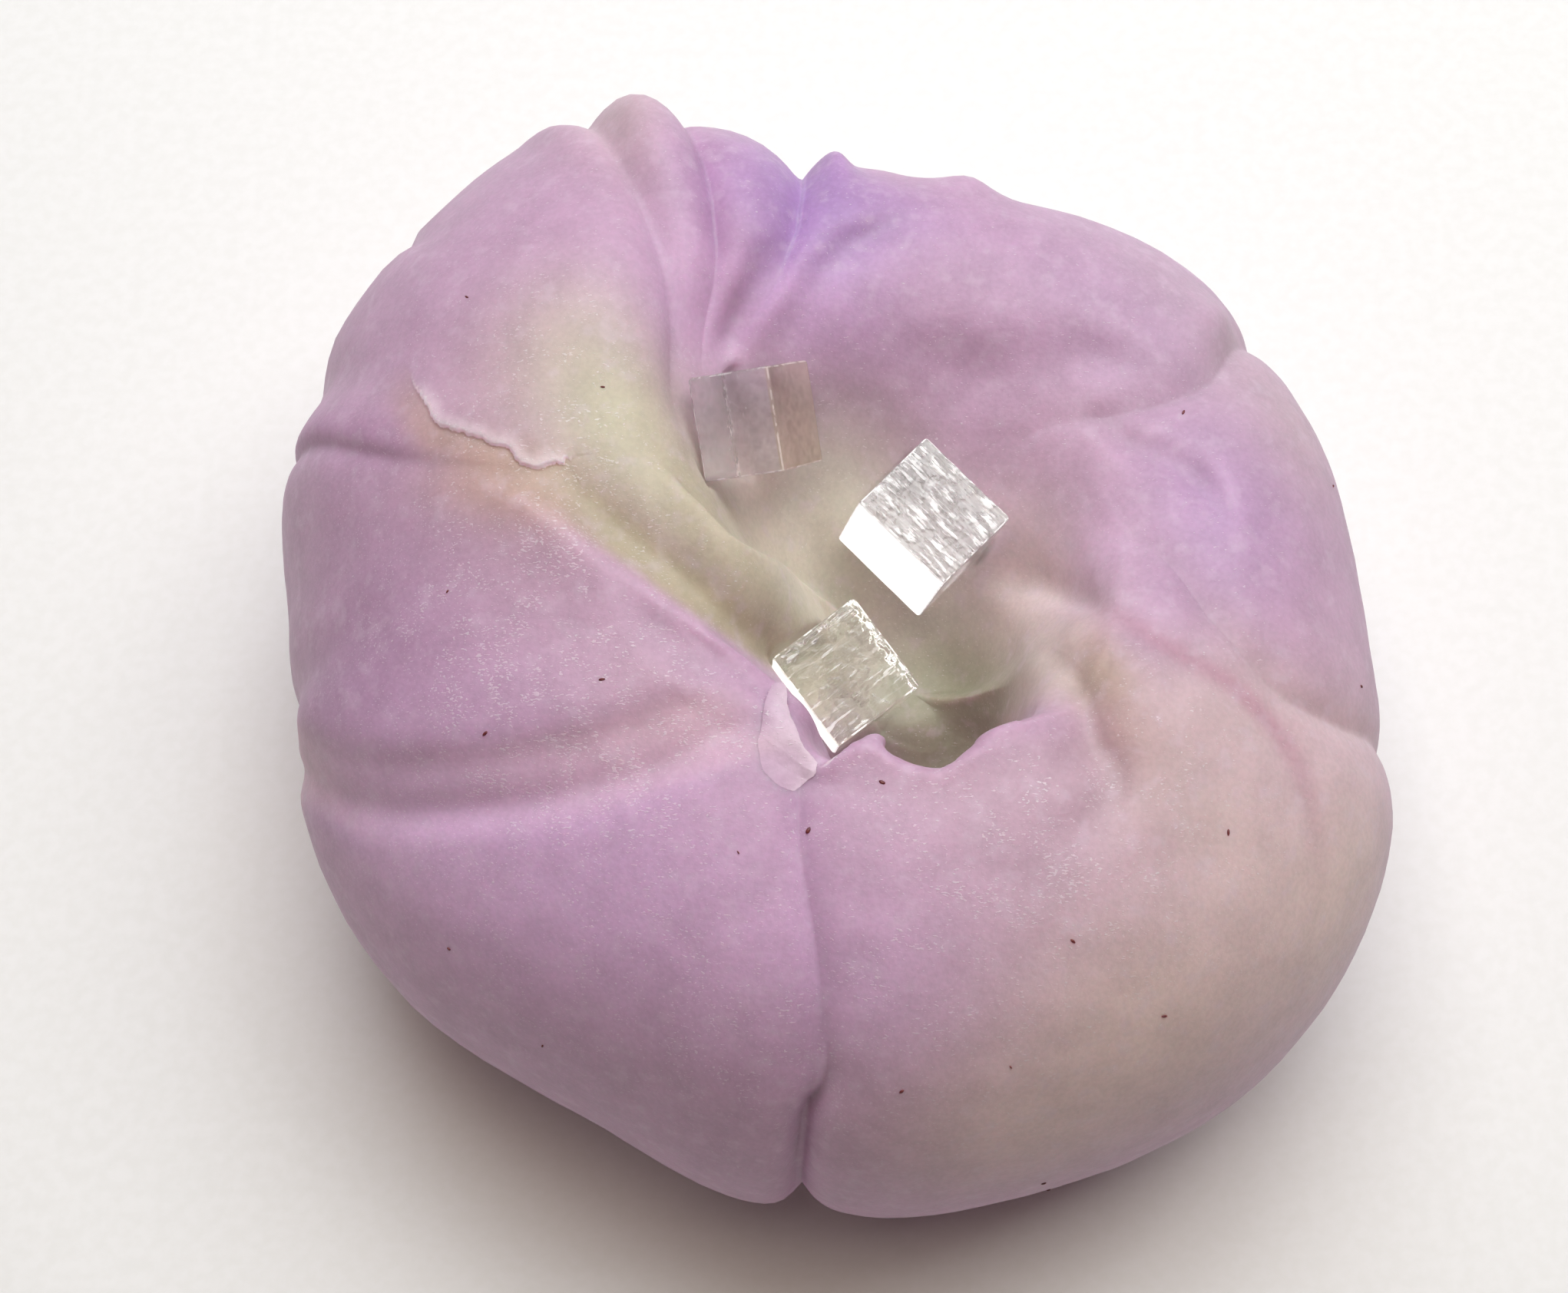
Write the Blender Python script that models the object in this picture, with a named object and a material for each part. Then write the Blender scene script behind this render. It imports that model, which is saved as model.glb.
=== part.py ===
"""Nerikiri in the shape of a rolled flower: a bun of tinted bean paste with a deep throat, petals
parted by pressed creases, and three clear jelly cubes lying in the throat.

Frame: +Z up, origin under the middle of the sweet on the surface that it stands on, -Y to the front.
Lengths below are in millimetres, and angles in degrees counter-clockwise from +X, seen from above.
"""

import math
from collections import namedtuple

import bmesh
import bpy
import numpy as np
from mathutils import Matrix, Vector

MM = 0.001

# The skin is one sheet of rings, from the floor of the throat (0) over the crest of the petals (1),
# the widest girth (2) and the rim of the foot (3) to the middle of the underside (4).
THROAT, CREST, GIRTH, FOOT, UNDERSIDE = 0.0, 1.0, 2.0, 3.0, 4.0
RING_LENGTH = 16.0  # the rough length of skin between two of those rings

FRAME_SHIFT = (0.84, -0.92)  # brings the middle of the finished sweet over the origin
THROAT_CENTRE = (3.0, -1.6)
CREST_CENTRE = (0.8, 0.0)
THROAT_FLOOR = 13.0
GIRTH_HEIGHT = 10.5
FOOT_RADIUS = 16.5
FOOT_CURVE = 0.8  # the lower it is, the longer the skin keeps its girth before it turns in to the foot
FLOOR_ROUNDING = 0.2

# Each list goes round the sweet as (angle, value), and a smooth closed curve joins its values.
GIRTH_RADIUS = (
    (0, 22.7),
    (25, 23.4),
    (50, 23.9),
    (75, 22.1),
    (95, 23.3),
    (112, 27.2),
    (135, 27.5),
    (160, 26.2),
    (178, 23.6),
    (192, 24.0),
    (215, 23.4),
    (240, 21.9),
    (265, 23.0),
    (290, 23.5),
    (315, 24.7),
    (340, 24.5),
)
CREST_RADIUS = (
    (0, 13.5),
    (45, 14.5),
    (90, 15.0),
    (120, 15.0),
    (150, 14.0),
    (180, 11.3),
    (210, 9.6),
    (240, 9.0),
    (270, 9.6),
    (300, 11.0),
    (330, 12.5),
)
CREST_HEIGHT = (
    (0, 23.0),
    (45, 22.5),
    (90, 23.5),
    (115, 25.3),
    (150, 25.6),
    (180, 25.0),
    (210, 24.5),
    (240, 25.0),
    (270, 25.0),
    (320, 24.5),
)

# The wall of the throat is steepest at this share of the crest's radius, and the higher its steepness,
# the more it is a cliff with a flat floor and not a funnel.
WALL_PLACE = (
    (0, 0.36),
    (60, 0.48),
    (120, 0.49),
    (145, 0.34),
    (165, 0.27),
    (188, 0.3),
    (208, 0.38),
    (235, 0.44),
    (260, 0.54),
    (268, 0.49),
    (275, 0.55),
    (285, 0.58),
    (293, 0.52),
    (301, 0.46),
    (311, 0.41),
    (325, 0.32),
    (342, 0.29),
)
WALL_STEEPNESS = (
    (0, 1.4),
    (60, 1.3),
    (120, 1.5),
    (150, 2.2),
    (175, 2.8),
    (200, 3.0),
    (235, 3.4),
    (262, 7.0),
    (303, 7.0),
    (316, 3.0),
    (330, 1.6),
)

# A crease runs along path, a list of (ring, angle) from its inner to its outer end. It is cut to depth,
# and its sides rise over width: power 1 makes a sharp pressed line and 2 a round groove, and a negative
# depth is a ridge. sink draws a band of skin, spread wide, down with it. With lip, the skin on its
# counter-clockwise side stands over the other side, in a step that is twice edge wide and dies away over
# reach. fade is the share of the path over which each end runs out.
Crease = namedtuple(
    "Crease",
    "path depth width power sink spread lip edge reach fade",
    defaults=(0.0, 1.2, 2.0, 0.0, 3.0, 0.0, 0.25, 2.5, (0.1, 0.1)),
)
CREASES = {
    "upper_left": Crease(
        path=((0.94, 163.5), (1.0, 165.5), (1.1, 166), (1.34, 165), (1.57, 162), (2.0, 159.5), (2.9, 159)),
        depth=0.45,
        width=0.7,
        power=1.3,
        lip=-0.5,
        reach=4.0,
        fade=(0.42, 0.12),
    ),
    "petal_edge": Crease(
        path=((0.62, 226), (0.68, 218), (0.71, 208), (0.74, 197), (0.8, 188), (0.94, 178), (1.05, 171),
            (1.2, 169)),
        lip=0.8,
        edge=0.6,
        reach=2.4,
        fade=(0.2, 0.3),
    ),
    "upper_left_valley": Crease(
        path=((0.4, 210), (0.5, 202), (0.6, 194), (0.69, 185), (0.79, 176), (0.91, 170), (1.08, 166.5)),
        depth=0.4,
        width=1.3,
        fade=(0.2, 0.35),
    ),
    "tongue": Crease(
        path=((0.24, 134), (0.3, 138), (0.36, 146), (0.42, 157), (0.48, 166), (0.54, 168), (0.6, 161),
            (0.72, 153)),
        lip=1.1,
        edge=0.2,
        reach=2.6,
        fade=(0.08, 0.4),
    ),
    "lower_left": Crease(
        path=((0.7, 240), (0.82, 236), (1.04, 230), (1.14, 224.5), (1.24, 219.5), (1.38, 212.5), (1.54, 206),
            (1.79, 195), (2.2, 188.5), (2.9, 188)),
        depth=0.35,
        width=0.8,
        fade=(0.15, 0.12),
    ),
    "lower_left_slope": Crease(
        path=((0.75, 226), (0.93, 221), (1.08, 214.5), (1.2, 210), (1.33, 205), (1.5, 199), (1.7, 191),
            (2.1, 186), (2.9, 185)),
        lip=-0.8,
        edge=0.8,
        reach=6.0,
        fade=(0.12, 0.35),
    ),
    "front_seam": Crease(
        path=((0.8, 250), (1.0, 253), (1.12, 256.5), (1.24, 261), (1.37, 264), (1.6, 264.5), (2.0, 265),
            (2.9, 265)),
        depth=0.4,
        width=0.7,
        power=1.3,
        sink=0.35,
        spread=2.5,
        fade=(0.12, 0.12),
    ),
    "front_seam_foot": Crease(
        path=((1.4, 265), (1.56, 266), (1.66, 264), (1.8, 264), (2.0, 264.5), (2.9, 265)),
        depth=0.8,
        width=0.6,
        power=1.0,
        lip=-0.5,
        reach=2.0,
        fade=(0.15, 0.15),
    ),
    "inner_arc": Crease(
        path=((0.35, 0), (0.48, -14), (0.63, -24), (0.8, -32), (0.93, -38), (1.06, -42), (1.14, -50),
            (1.24, -60)),
        depth=0.9,
        width=1.6,
        lip=1.2,
        edge=0.6,
        reach=4.0,
        fade=(0.45, 0.35),
    ),
    "pocket": Crease(
        path=((0.3, 40), (0.4, 25), (0.48, 10), (0.6, -3), (0.72, -11)),
        depth=0.8,
        width=1.2,
        power=1.3,
        lip=-0.7,
        edge=0.4,
        reach=2.5,
        fade=(0.25, 0.4),
    ),
    "middle_arc": Crease(
        path=((0.55, 0), (0.66, -8), (0.84, -15), (1.05, -18), (1.24, -22), (1.35, -26), (1.49, -33),
            (1.6, -40)),
        depth=0.3,
        width=1.0,
        lip=0.25,
        edge=0.5,
        reach=3.0,
        fade=(0.3, 0.4),
    ),
    "outer_arc": Crease(
        path=((0.6, 21), (0.72, 13), (0.83, 5), (1.03, -9), (1.21, -16), (1.39, -16), (1.6, -13.5),
            (2.9, -12)),
        depth=0.45,
        width=0.8,
        power=1.3,
        sink=0.2,
        spread=2.5,
        fade=(0.2, 0.15),
    ),
    "right_upper": Crease(
        path=((0.45, 62), (0.63, 52), (0.78, 41), (0.94, 34.5), (1.2, 32.5), (1.36, 35), (2.0, 36),
            (2.9, 36)),
        depth=0.5,
        width=0.9,
        power=1.3,
        sink=0.3,
        spread=3.0,
        fade=(0.25, 0.15),
    ),
    "right_back": Crease(
        path=((0.55, 78), (0.69, 67), (0.8, 55), (0.97, 45), (1.1, 41)), depth=0.4, width=1.6, fade=(0.3, 0.3)
    ),
    "right_short": Crease(
        path=((0.76, 38), (0.84, 31), (0.96, 21), (1.09, 12)), depth=0.4, width=0.9, fade=(0.3, 0.3)
    ),
    "top_deep": Crease(
        path=((0.62, 124), (0.74, 114), (0.84, 106), (0.99, 100), (1.16, 97.5), (1.4, 95.5), (2.0, 94.5),
            (2.9, 94)),
        depth=1.2,
        width=0.8,
        power=1.0,
        sink=0.35,
        spread=2.0,
        lip=-0.5,
        edge=0.3,
        reach=1.3,
        fade=(0.2, 0.12),
    ),
    "top_left": Crease(
        path=((0.62, 131), (0.77, 122), (0.91, 115), (1.1, 111), (1.35, 109.2), (2.0, 108.5), (2.9, 108)),
        depth=0.8,
        width=0.7,
        power=1.0,
        sink=0.3,
        spread=1.5,
        fade=(0.2, 0.15),
    ),
    "top_middle": Crease(
        path=((0.66, 121), (0.75, 116), (0.88, 108), (1.02, 105)), depth=0.5, width=0.6, fade=(0.3, 0.4)
    ),
    "top_right": Crease(
        path=((0.6, 110), (0.73, 104), (0.85, 98), (1.07, 86), (1.2, 83)),
        depth=0.5,
        width=0.9,
        fade=(0.3, 0.4),
    ),
    "top_boundary": Crease(
        path=((0.55, 150), (0.69, 139), (0.83, 128), (0.96, 124), (1.09, 121.5), (1.35, 118.8), (2.0, 118),
            (2.9, 118)),
        depth=0.7,
        width=0.9,
        power=1.3,
        sink=0.4,
        spread=2.2,
        lip=0.6,
        edge=0.4,
        reach=4.0,
        fade=(0.2, 0.2),
    ),
    "left_rim": Crease(
        path=((1.35, 138), (1.6, 138), (2.0, 138), (2.6, 138)), depth=0.4, width=0.6, fade=(0.3, 0.3)
    ),
}
# These creases have a column of the mesh along their bottom.
ALIGNED = (
    "outer_arc",
    "right_upper",
    "top_deep",
    "top_left",
    "top_boundary",
    "upper_left",
    "lower_left",
    "front_seam",
    "inner_arc",
)

# A soft dome on the skin or, with a height below 0, a hollow in it. length and breadth are half its size,
# and turn is how far its length is turned from the way round the sweet towards the foot.
Swell = namedtuple("Swell", "angle ring length breadth turn height")
SWELLS = (
    Swell(280, 0.42, 3.6, 3.0, 0, -1.8),
    Swell(117, 0.64, 3.5, 4.5, 0, -2.0),
    Swell(205, 0.3, 3.4, 3.4, 0, 1.2),
    Swell(92.6, 1.42, 0.7, 3.0, 0, 0.8),
    Swell(113.8, 1.42, 2.2, 4.0, 0, 1.6),
    Swell(121, 1.5, 1.0, 3.0, 0, 0.5),
    Swell(155, 1.9, 2.2, 8.0, 0, -1.1),
    Swell(186, 1.95, 1.6, 6.0, 0, -0.9),
    Swell(75.5, 1.42, 1.4, 2.4, 0, 0.6),
    Swell(40, 1.35, 1.2, 2.0, 0, 0.5),
)

# Each jelly cube is turned about its own upright axis, and then leans by an angle towards a direction on
# the plan.
Cube = namedtuple("Cube", "centre sides turn lean towards")
CUBES = {
    "jelly_cube_back": Cube((-3.6, 6.6, 23.0), (3.6, 4.3, 4.4), 3.7, 37.0, 231.0),
    "jelly_cube_right": Cube((3.2, 3.6, 19.0), (4.3, 4.9, 4.6), 46.8, 10.5, -18.0),
    "jelly_cube_front": Cube((-0.1, -3.0, 19.3), (4.2, 4.5, 4.2), 37.0, 13.5, -85.0),
}
JELLY_BEVEL = 0.3
JELLY_ROUNDING = 2
JELLY_CLEARANCE = 0.9  # between a cube and the dent that it has pressed into the paste
PRESS_STEPS = 24
EASE_STEPS = 12

# A torn flake of paste that lies on the skin. root and edge run side by side as (ring, angle, lift),
# where lift is how far the flake's upper face lies above the skin.
Flake = namedtuple("Flake", "root edge")
FLAKES = (
    Flake(
        root=((1.33, 149, -0.3), (1.26, 150, -0.3), (1.19, 152, -0.3), (1.12, 153, -0.3), (1.05, 154, -0.3),
            (0.98, 154, -0.3), (0.92, 153, -0.3)),
        edge=((1.32, 155, 0.0), (1.27, 158.5, 0.25), (1.2, 162, 0.3), (1.11, 162.5, 0.3),
            (1.06, 165.3, 0.35), (0.99, 165.5, 0.35), (0.92, 161, 0.0)),
    ),
    Flake(
        root=((0.72, 229, 0.8), (0.78, 233, 0.3), (0.84, 237, 0.1), (0.89, 240, -0.15), (0.95, 242, -0.3),
            (1.02, 245, -0.3), (1.08, 248, -0.3)),
        edge=((0.71, 232, 0.9), (0.79, 243, 0.35), (0.87, 251, 0.25), (0.91, 254.5, 0.2), (0.96, 256.5, 0.2),
            (1.01, 256, 0.15), (1.06, 254, -0.1)),
    ),
)
FLAKE_THICKNESS = 0.8
FLAKE_LENGTHS, FLAKE_BREADTHS = 16, 4  # how many squares a flake's mesh has along and across it

# Colours are red, green and blue as light is worked out with, from 0 to 1.
PASTE_COLOUR, PASTE_ROUGHNESS = (0.52, 0.33, 0.44), 0.6
JELLY_COLOUR, JELLY_ROUGHNESS, JELLY_TRANSMISSION = (0.95, 0.93, 0.9), 0.08, 0.9

# The mesh is a sphere's net laid over the skin: its rows follow rings, and its columns follow the creases.
COLUMNS = 104
ROW_RINGS = (THROAT, 0.15, 0.6, CREST, GIRTH, FOOT, UNDERSIDE)
ROWS = (3, 20, 8, 11, 7, 2)  # how many rows lie between two of those rings
CROWDING = 0.6  # how closely the columns gather at the creases
FOOT_DROP = 0.35  # no crease reaches below this height


def hermite(x, knots, values):
    """A smooth curve through the knots, for an array x inside their range."""
    knots, values = np.asarray(knots, float), np.asarray(values, float)
    slopes = np.gradient(values, knots)
    i = np.clip(np.searchsorted(knots, x, side="right") - 1, 0, len(knots) - 2)
    span = knots[i + 1] - knots[i]
    t = np.clip((x - knots[i]) / span, 0, 1)
    rise = t * t * (3 - 2 * t)
    start = t * (1 - t) ** 2 * span * slopes[i]
    end = t * t * (t - 1) * span * slopes[i + 1]
    return values[i] * (1 - rise) + values[i + 1] * rise + start + end


def around(angle, knots):
    """The value at each angle on the closed smooth curve through (angle, value) knots."""
    angles = [a for a, _ in knots]
    values = [v for _, v in knots]
    wide_angles = [a - 360 for a in angles[-3:]] + angles + [a + 360 for a in angles[:3]]
    wide_values = values[-3:] + values + values[:3]
    return hermite(np.mod(angle, 360), wide_angles, wide_values)


def smoothstep(x, low, high):
    t = np.clip((x - low) / (high - low), 0, 1)
    return t * t * (3 - 2 * t)


def plan_radius(angle, ring):
    """How far the plain skin lies from the middle of its ring."""
    girth = around(angle, GIRTH_RADIUS)
    crest = around(angle, CREST_RADIUS)
    over = np.sin(np.clip(ring - CREST, 0, 1) * math.pi / 2)
    below = np.clip(np.cos(np.clip(ring - GIRTH, 0, 1) * math.pi / 2), 0, 1) ** FOOT_CURVE
    under = 1 - np.clip(ring - FOOT, 0, 1)
    flank = FOOT_RADIUS + (girth - FOOT_RADIUS) * below
    outside = np.where(ring <= GIRTH, crest + (girth - crest) * over, flank)
    inside = crest * np.clip(ring, 0, 1)
    return np.where(ring <= CREST, inside, np.where(ring <= FOOT, outside, FOOT_RADIUS * under))


def plain_height(angle, ring):
    """The height of the plain skin over the surface that the sweet stands on."""
    top = around(angle, CREST_HEIGHT)
    wall, steepness = around(angle, WALL_PLACE), around(angle, WALL_STEEPNESS)
    eased = np.sqrt(np.clip(ring, 0, 1) ** 2 + FLOOR_ROUNDING**2) - FLOOR_ROUNDING
    climbed = 1 - np.exp(-((eased / wall) ** steepness)) * (1 - np.clip(ring, 0, 1) ** (2 * steepness)) ** 2
    throat = THROAT_FLOOR + (top - THROAT_FLOOR) * climbed
    over = GIRTH_HEIGHT + (top - GIRTH_HEIGHT) * np.cos(np.clip(ring - CREST, 0, 1) * math.pi / 2)
    below = GIRTH_HEIGHT * (1 - np.sin(np.clip(ring - GIRTH, 0, 1) * math.pi / 2))
    return np.where(ring <= CREST, throat, np.where(ring <= GIRTH, over, below))


def plain_point(angle, ring):
    """The bun with its throat, before any crease: arrays of angles and rings to points."""
    to_crest = smoothstep(ring, THROAT, CREST)
    to_girth = smoothstep(ring, CREST, GIRTH)
    x, y = (THROAT_CENTRE[k] * (1 - to_crest) + CREST_CENTRE[k] * to_crest * (1 - to_girth) for k in (0, 1))
    radius = plan_radius(angle, ring)
    turn = np.radians(angle)
    height = plain_height(angle, ring)
    return np.stack([x + radius * np.cos(turn), y + radius * np.sin(turn), height], axis=-1)


def outward(angle, ring):
    """The unit normal of the plain skin, upright at the two ends of the sheet, where all angles meet."""
    along = plain_point(angle + 0.5, ring) - plain_point(angle - 0.5, ring)
    across = plain_point(angle, ring + 0.005) - plain_point(angle, ring - 0.005)
    normal = np.cross(across, along)
    length = np.linalg.norm(normal, axis=-1, keepdims=True)
    upright = np.where(np.asarray(ring)[..., None] < CREST, 1.0, -1.0) * np.array((0.0, 0.0, 1.0))
    return np.where(length > 1e-6, normal / np.maximum(length, 1e-6), upright)


def wrapped(angle):
    return np.mod(angle + 180, 360) - 180


def path_angle(path, ring):
    """Where a path lies at each ring."""
    rings = [r for r, _ in path]
    return hermite(np.clip(ring, rings[0], rings[-1]), rings, [a for _, a in path])


def crease_relief(crease, angle, ring, radius):
    """How far one crease moves the skin along its normal."""
    first, last = crease.path[0][0], crease.path[-1][0]
    offset = wrapped(angle - path_angle(crease.path, ring))
    slant = (path_angle(crease.path, ring + 0.01) - path_angle(crease.path, ring - 0.01)) / 0.02
    lean = np.radians(slant) * radius / RING_LENGTH
    across = np.radians(offset) * radius / np.sqrt(1 + lean**2)
    far = np.abs(across)
    share = (ring - first) / (last - first)
    live = smoothstep(share, 0, crease.fade[0]) * (1 - smoothstep(share, 1 - crease.fade[1], 1))
    cut = crease.depth * np.exp(-((far / crease.width) ** crease.power))
    band = crease.sink * np.exp(-((far / crease.spread) ** 2))
    raised_side = 0.5 + 0.5 * np.tanh(math.copysign(1, crease.lip) * across / crease.edge)
    step = abs(crease.lip) * raised_side * np.exp(-far / crease.reach)
    return live * (step - cut - band)


def swell_relief(swell, angle, ring, radius):
    u = np.radians(wrapped(angle - swell.angle)) * radius
    v = (ring - swell.ring) * RING_LENGTH
    turn = math.radians(swell.turn)
    p = (u * math.cos(turn) + v * math.sin(turn)) / swell.length
    q = (v * math.cos(turn) - u * math.sin(turn)) / swell.breadth
    return swell.height * np.exp(-(p**2) - q**2)


def cube_pose(cube):
    """A cube's turn and lean as a 3 by 3 matrix."""
    towards = math.radians(cube.towards)
    axis = Vector((-math.sin(towards), math.cos(towards), 0))
    turn, lean = math.radians(cube.turn), math.radians(cube.lean)
    return Matrix.Rotation(lean, 3, axis) @ Matrix.Rotation(turn, 3, "Z")


def outside_cube(cube, point):
    """How far each point lies outside a cube, below 0 inside it, and the way straight out from there."""
    pose = np.array(cube_pose(cube))
    local = (point - np.array(cube.centre)) @ pose
    beyond = np.abs(local) - np.array(cube.sides) / 2
    deepest = beyond == beyond.max(axis=-1, keepdims=True)
    out = np.where(beyond.max(axis=-1, keepdims=True) > 0, np.maximum(beyond, 0), deepest)
    length = np.linalg.norm(out, axis=-1, keepdims=True)
    distance = np.linalg.norm(np.maximum(beyond, 0), axis=-1) + np.minimum(beyond.max(axis=-1), 0)
    return distance, (np.sign(local) * out / length) @ pose.T


def dented(point, normal):
    """The net of the skin after it has given way to the jelly cubes: sunk along its normal, then eased."""
    for _ in range(PRESS_STEPS):
        distance = np.min([outside_cube(cube, point)[0] for cube in CUBES.values()], axis=0)
        point = point - normal * np.maximum(JELLY_CLEARANCE - distance, 0)[..., None]
    for _ in range(EASE_STEPS):
        distance = np.min([outside_cube(cube, point)[0] for cube in CUBES.values()], axis=0)
        slack = 0.5 * (1 - smoothstep(distance, JELLY_CLEARANCE, 2 * JELLY_CLEARANCE))
        sides = np.roll(point, 1, axis=0) + np.roll(point, -1, axis=0)
        ends = point[:, :-2] + point[:, 2:]
        eased = (sides[:, 1:-1] + ends) / 4
        point[:, 1:-1] += (eased - point[:, 1:-1]) * slack[:, 1:-1, None]
        for cube in CUBES.values():
            distance, away = outside_cube(cube, point)
            point = point + away * np.maximum(JELLY_CLEARANCE - distance, 0)[..., None]
    return point


def skin_point(angle, ring):
    """The skin with its creases and swells, before the jelly cubes lie in it."""
    radius = plan_radius(angle, ring)
    relief = sum(crease_relief(c, angle, ring, radius) for c in CREASES.values())
    relief = relief + sum(swell_relief(s, angle, ring, radius) for s in SWELLS)
    plain = plain_point(angle, ring)
    relief = relief * smoothstep(plain[..., 2], FOOT_DROP, 5 * FOOT_DROP)
    return plain + outward(angle, ring) * relief[..., None]


def placed(point):
    """A point of the shape, in millimetres, as a point of the scene."""
    return Vector((point[0] + FRAME_SHIFT[0], point[1] + FRAME_SHIFT[1], point[2])) * MM


def net(columns, rows):
    """The angle and the ring of each point of the net, as arrays of columns by rows + 1."""
    paths = sorted((CREASES[name].path for name in ALIGNED), key=lambda path: path_angle(path, GIRTH) % 360)
    marked = np.array([[float(path_angle(path, ring)) for ring in (THROAT, CREST, GIRTH)] for path in paths])
    gaps = np.mod(np.roll(marked, -1, axis=0) - marked, 360).mean(axis=1)
    marks = np.round(np.cumsum([0, *gaps]) / gaps.sum() * columns).astype(int)
    share = np.concatenate([np.arange(b - a) / (b - a) for a, b in zip(marks[:-1], marks[1:])])
    share = share - CROWDING * np.sin(2 * math.pi * share) / (2 * math.pi)
    gap = np.concatenate([np.full(b - a, i) for i, (a, b) in enumerate(zip(marks[:-1], marks[1:]))])
    ring = np.interp(np.arange(rows + 1), np.cumsum([0, *ROWS]), ROW_RINGS)
    at = np.array([path_angle(path, ring) for path in paths])
    before = at[gap]
    after = at[(gap + 1) % len(paths)]
    angle = before + np.mod(after - before, 360) * share[:, None]
    return angle, np.broadcast_to(ring, angle.shape)


def draw_skin(columns, rows):
    """A sphere's net with each of its points moved to its place on the skin."""
    skin = bmesh.new()
    bmesh.ops.create_uvsphere(skin, u_segments=columns, v_segments=rows, radius=1)
    angle, ring = net(columns, rows)
    places = dented(skin_point(angle, ring), outward(angle, ring))
    for vert in skin.verts:
        row = round(math.acos(max(-1, min(1, vert.co.z))) * rows / math.pi)
        column = round(math.atan2(vert.co.y, vert.co.x) * columns / (2 * math.pi)) % columns
        vert.co = placed(places[column, row])
    bmesh.ops.recalc_face_normals(skin, faces=skin.faces)
    return skin


def draw_flake(flake):
    """A thin slab between its root and its torn edge, with its lower face sunk in the skin."""
    root, edge = np.array(flake.root), np.array(flake.edge)
    share = np.linspace(0, 1, len(root))
    slab = bmesh.new()
    bmesh.ops.create_grid(slab, x_segments=FLAKE_LENGTHS, y_segments=FLAKE_BREADTHS, size=1)
    for vert in slab.verts:
        along, out = (vert.co.x + 1) / 2, (vert.co.y + 1) / 2
        ends = [np.array([hermite(along, share, line[:, k]) for k in range(3)]) for line in (root, edge)]
        ring, angle, lift = ends[0] * (1 - out) + ends[1] * out
        vert.co = placed(skin_point(angle, ring) + np.array((0.0, 0.0, lift)))
    under = bmesh.ops.extrude_face_region(slab, geom=slab.faces[:], use_keep_orig=True)["geom"]
    for vert in under:
        if isinstance(vert, bmesh.types.BMVert):
            vert.co.z -= FLAKE_THICKNESS * MM
    bmesh.ops.recalc_face_normals(slab, faces=slab.faces)
    return slab


def fuse(body, pieces):
    """Joins the pieces to the body in one Boolean, and removes them."""
    flakes = bpy.data.collections.new("flakes")
    bpy.context.scene.collection.children.link(flakes)
    for piece in pieces:
        bpy.context.scene.collection.objects.unlink(piece)
        flakes.objects.link(piece)
    union = body.modifiers.new("union", "BOOLEAN")
    union.operation = "UNION"
    union.operand_type = "COLLECTION"
    union.collection = flakes
    union.solver = "EXACT"
    bpy.context.view_layer.update()
    graph = bpy.context.evaluated_depsgraph_get()
    joined = bpy.data.meshes.new_from_object(body.evaluated_get(graph))
    body.modifiers.remove(union)
    body.data = joined
    for piece in pieces:
        bpy.data.objects.remove(piece)
    bpy.data.collections.remove(flakes)


def draw_cube(cube):
    """A cube with its edges rounded, at its place."""
    block = bmesh.new()
    bmesh.ops.create_cube(block, size=1, matrix=Matrix.Diagonal((*(side * MM for side in cube.sides), 1)))
    bmesh.ops.bevel(
        block,
        geom=block.edges,
        offset=JELLY_BEVEL * MM,
        affect="EDGES",
        segments=JELLY_ROUNDING,
        profile=0.5,
        material=-1,
    )
    return block


def finish(name, shape, material, matrix=None):
    """Makes the drawn shape an object of its own, in its material."""
    mesh = bpy.data.meshes.new(name)
    shape.to_mesh(mesh)
    shape.free()
    mesh.shade_smooth()
    mesh.materials.append(material)
    obj = bpy.data.objects.new(name, mesh)
    bpy.context.scene.collection.objects.link(obj)
    if matrix:
        obj.matrix_world = matrix
    return obj


def plain_material(name, colour, roughness, transmission=0.0):
    material = bpy.data.materials.new(name)
    material.use_nodes = True
    shader = material.node_tree.nodes["Principled BSDF"]
    shader.inputs["Base Color"].default_value = (*colour, 1.0)
    shader.inputs["Roughness"].default_value = roughness
    shader.inputs["Metallic"].default_value = 0.0
    shader.inputs["Transmission Weight"].default_value = transmission
    return material


def main():
    for obj in list(bpy.data.objects):
        bpy.data.objects.remove(obj)
    paste = plain_material("bean_paste", PASTE_COLOUR, PASTE_ROUGHNESS)
    body = finish("dough_body", draw_skin(COLUMNS, sum(ROWS)), paste)
    fuse(body, [finish(f"flake_{n}", draw_flake(flake), paste) for n, flake in enumerate(FLAKES)])
    for name, cube in CUBES.items():
        jelly = plain_material(f"{name}_clear", JELLY_COLOUR, JELLY_ROUGHNESS, JELLY_TRANSMISSION)
        place = Matrix.Translation(placed(cube.centre)) @ cube_pose(cube).to_4x4()
        finish(name, draw_cube(cube), jelly, place)


if __name__ == "__main__":
    main()
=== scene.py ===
"""Looks of the nerikiri: the fine skin of bean paste with its tints, grain and torn rims, the specks of bean
skin, the clear jelly cubes with their knife marks, and the paper, the light and the camera.

Lengths are in millimetres until placed() turns a point into the frame's metres, and angles are in degrees
counter-clockwise from +X, seen from above.
"""

import math
from collections import namedtuple

import bmesh
import bpy
import numpy as np
from mathutils import Matrix, Vector, noise


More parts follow.
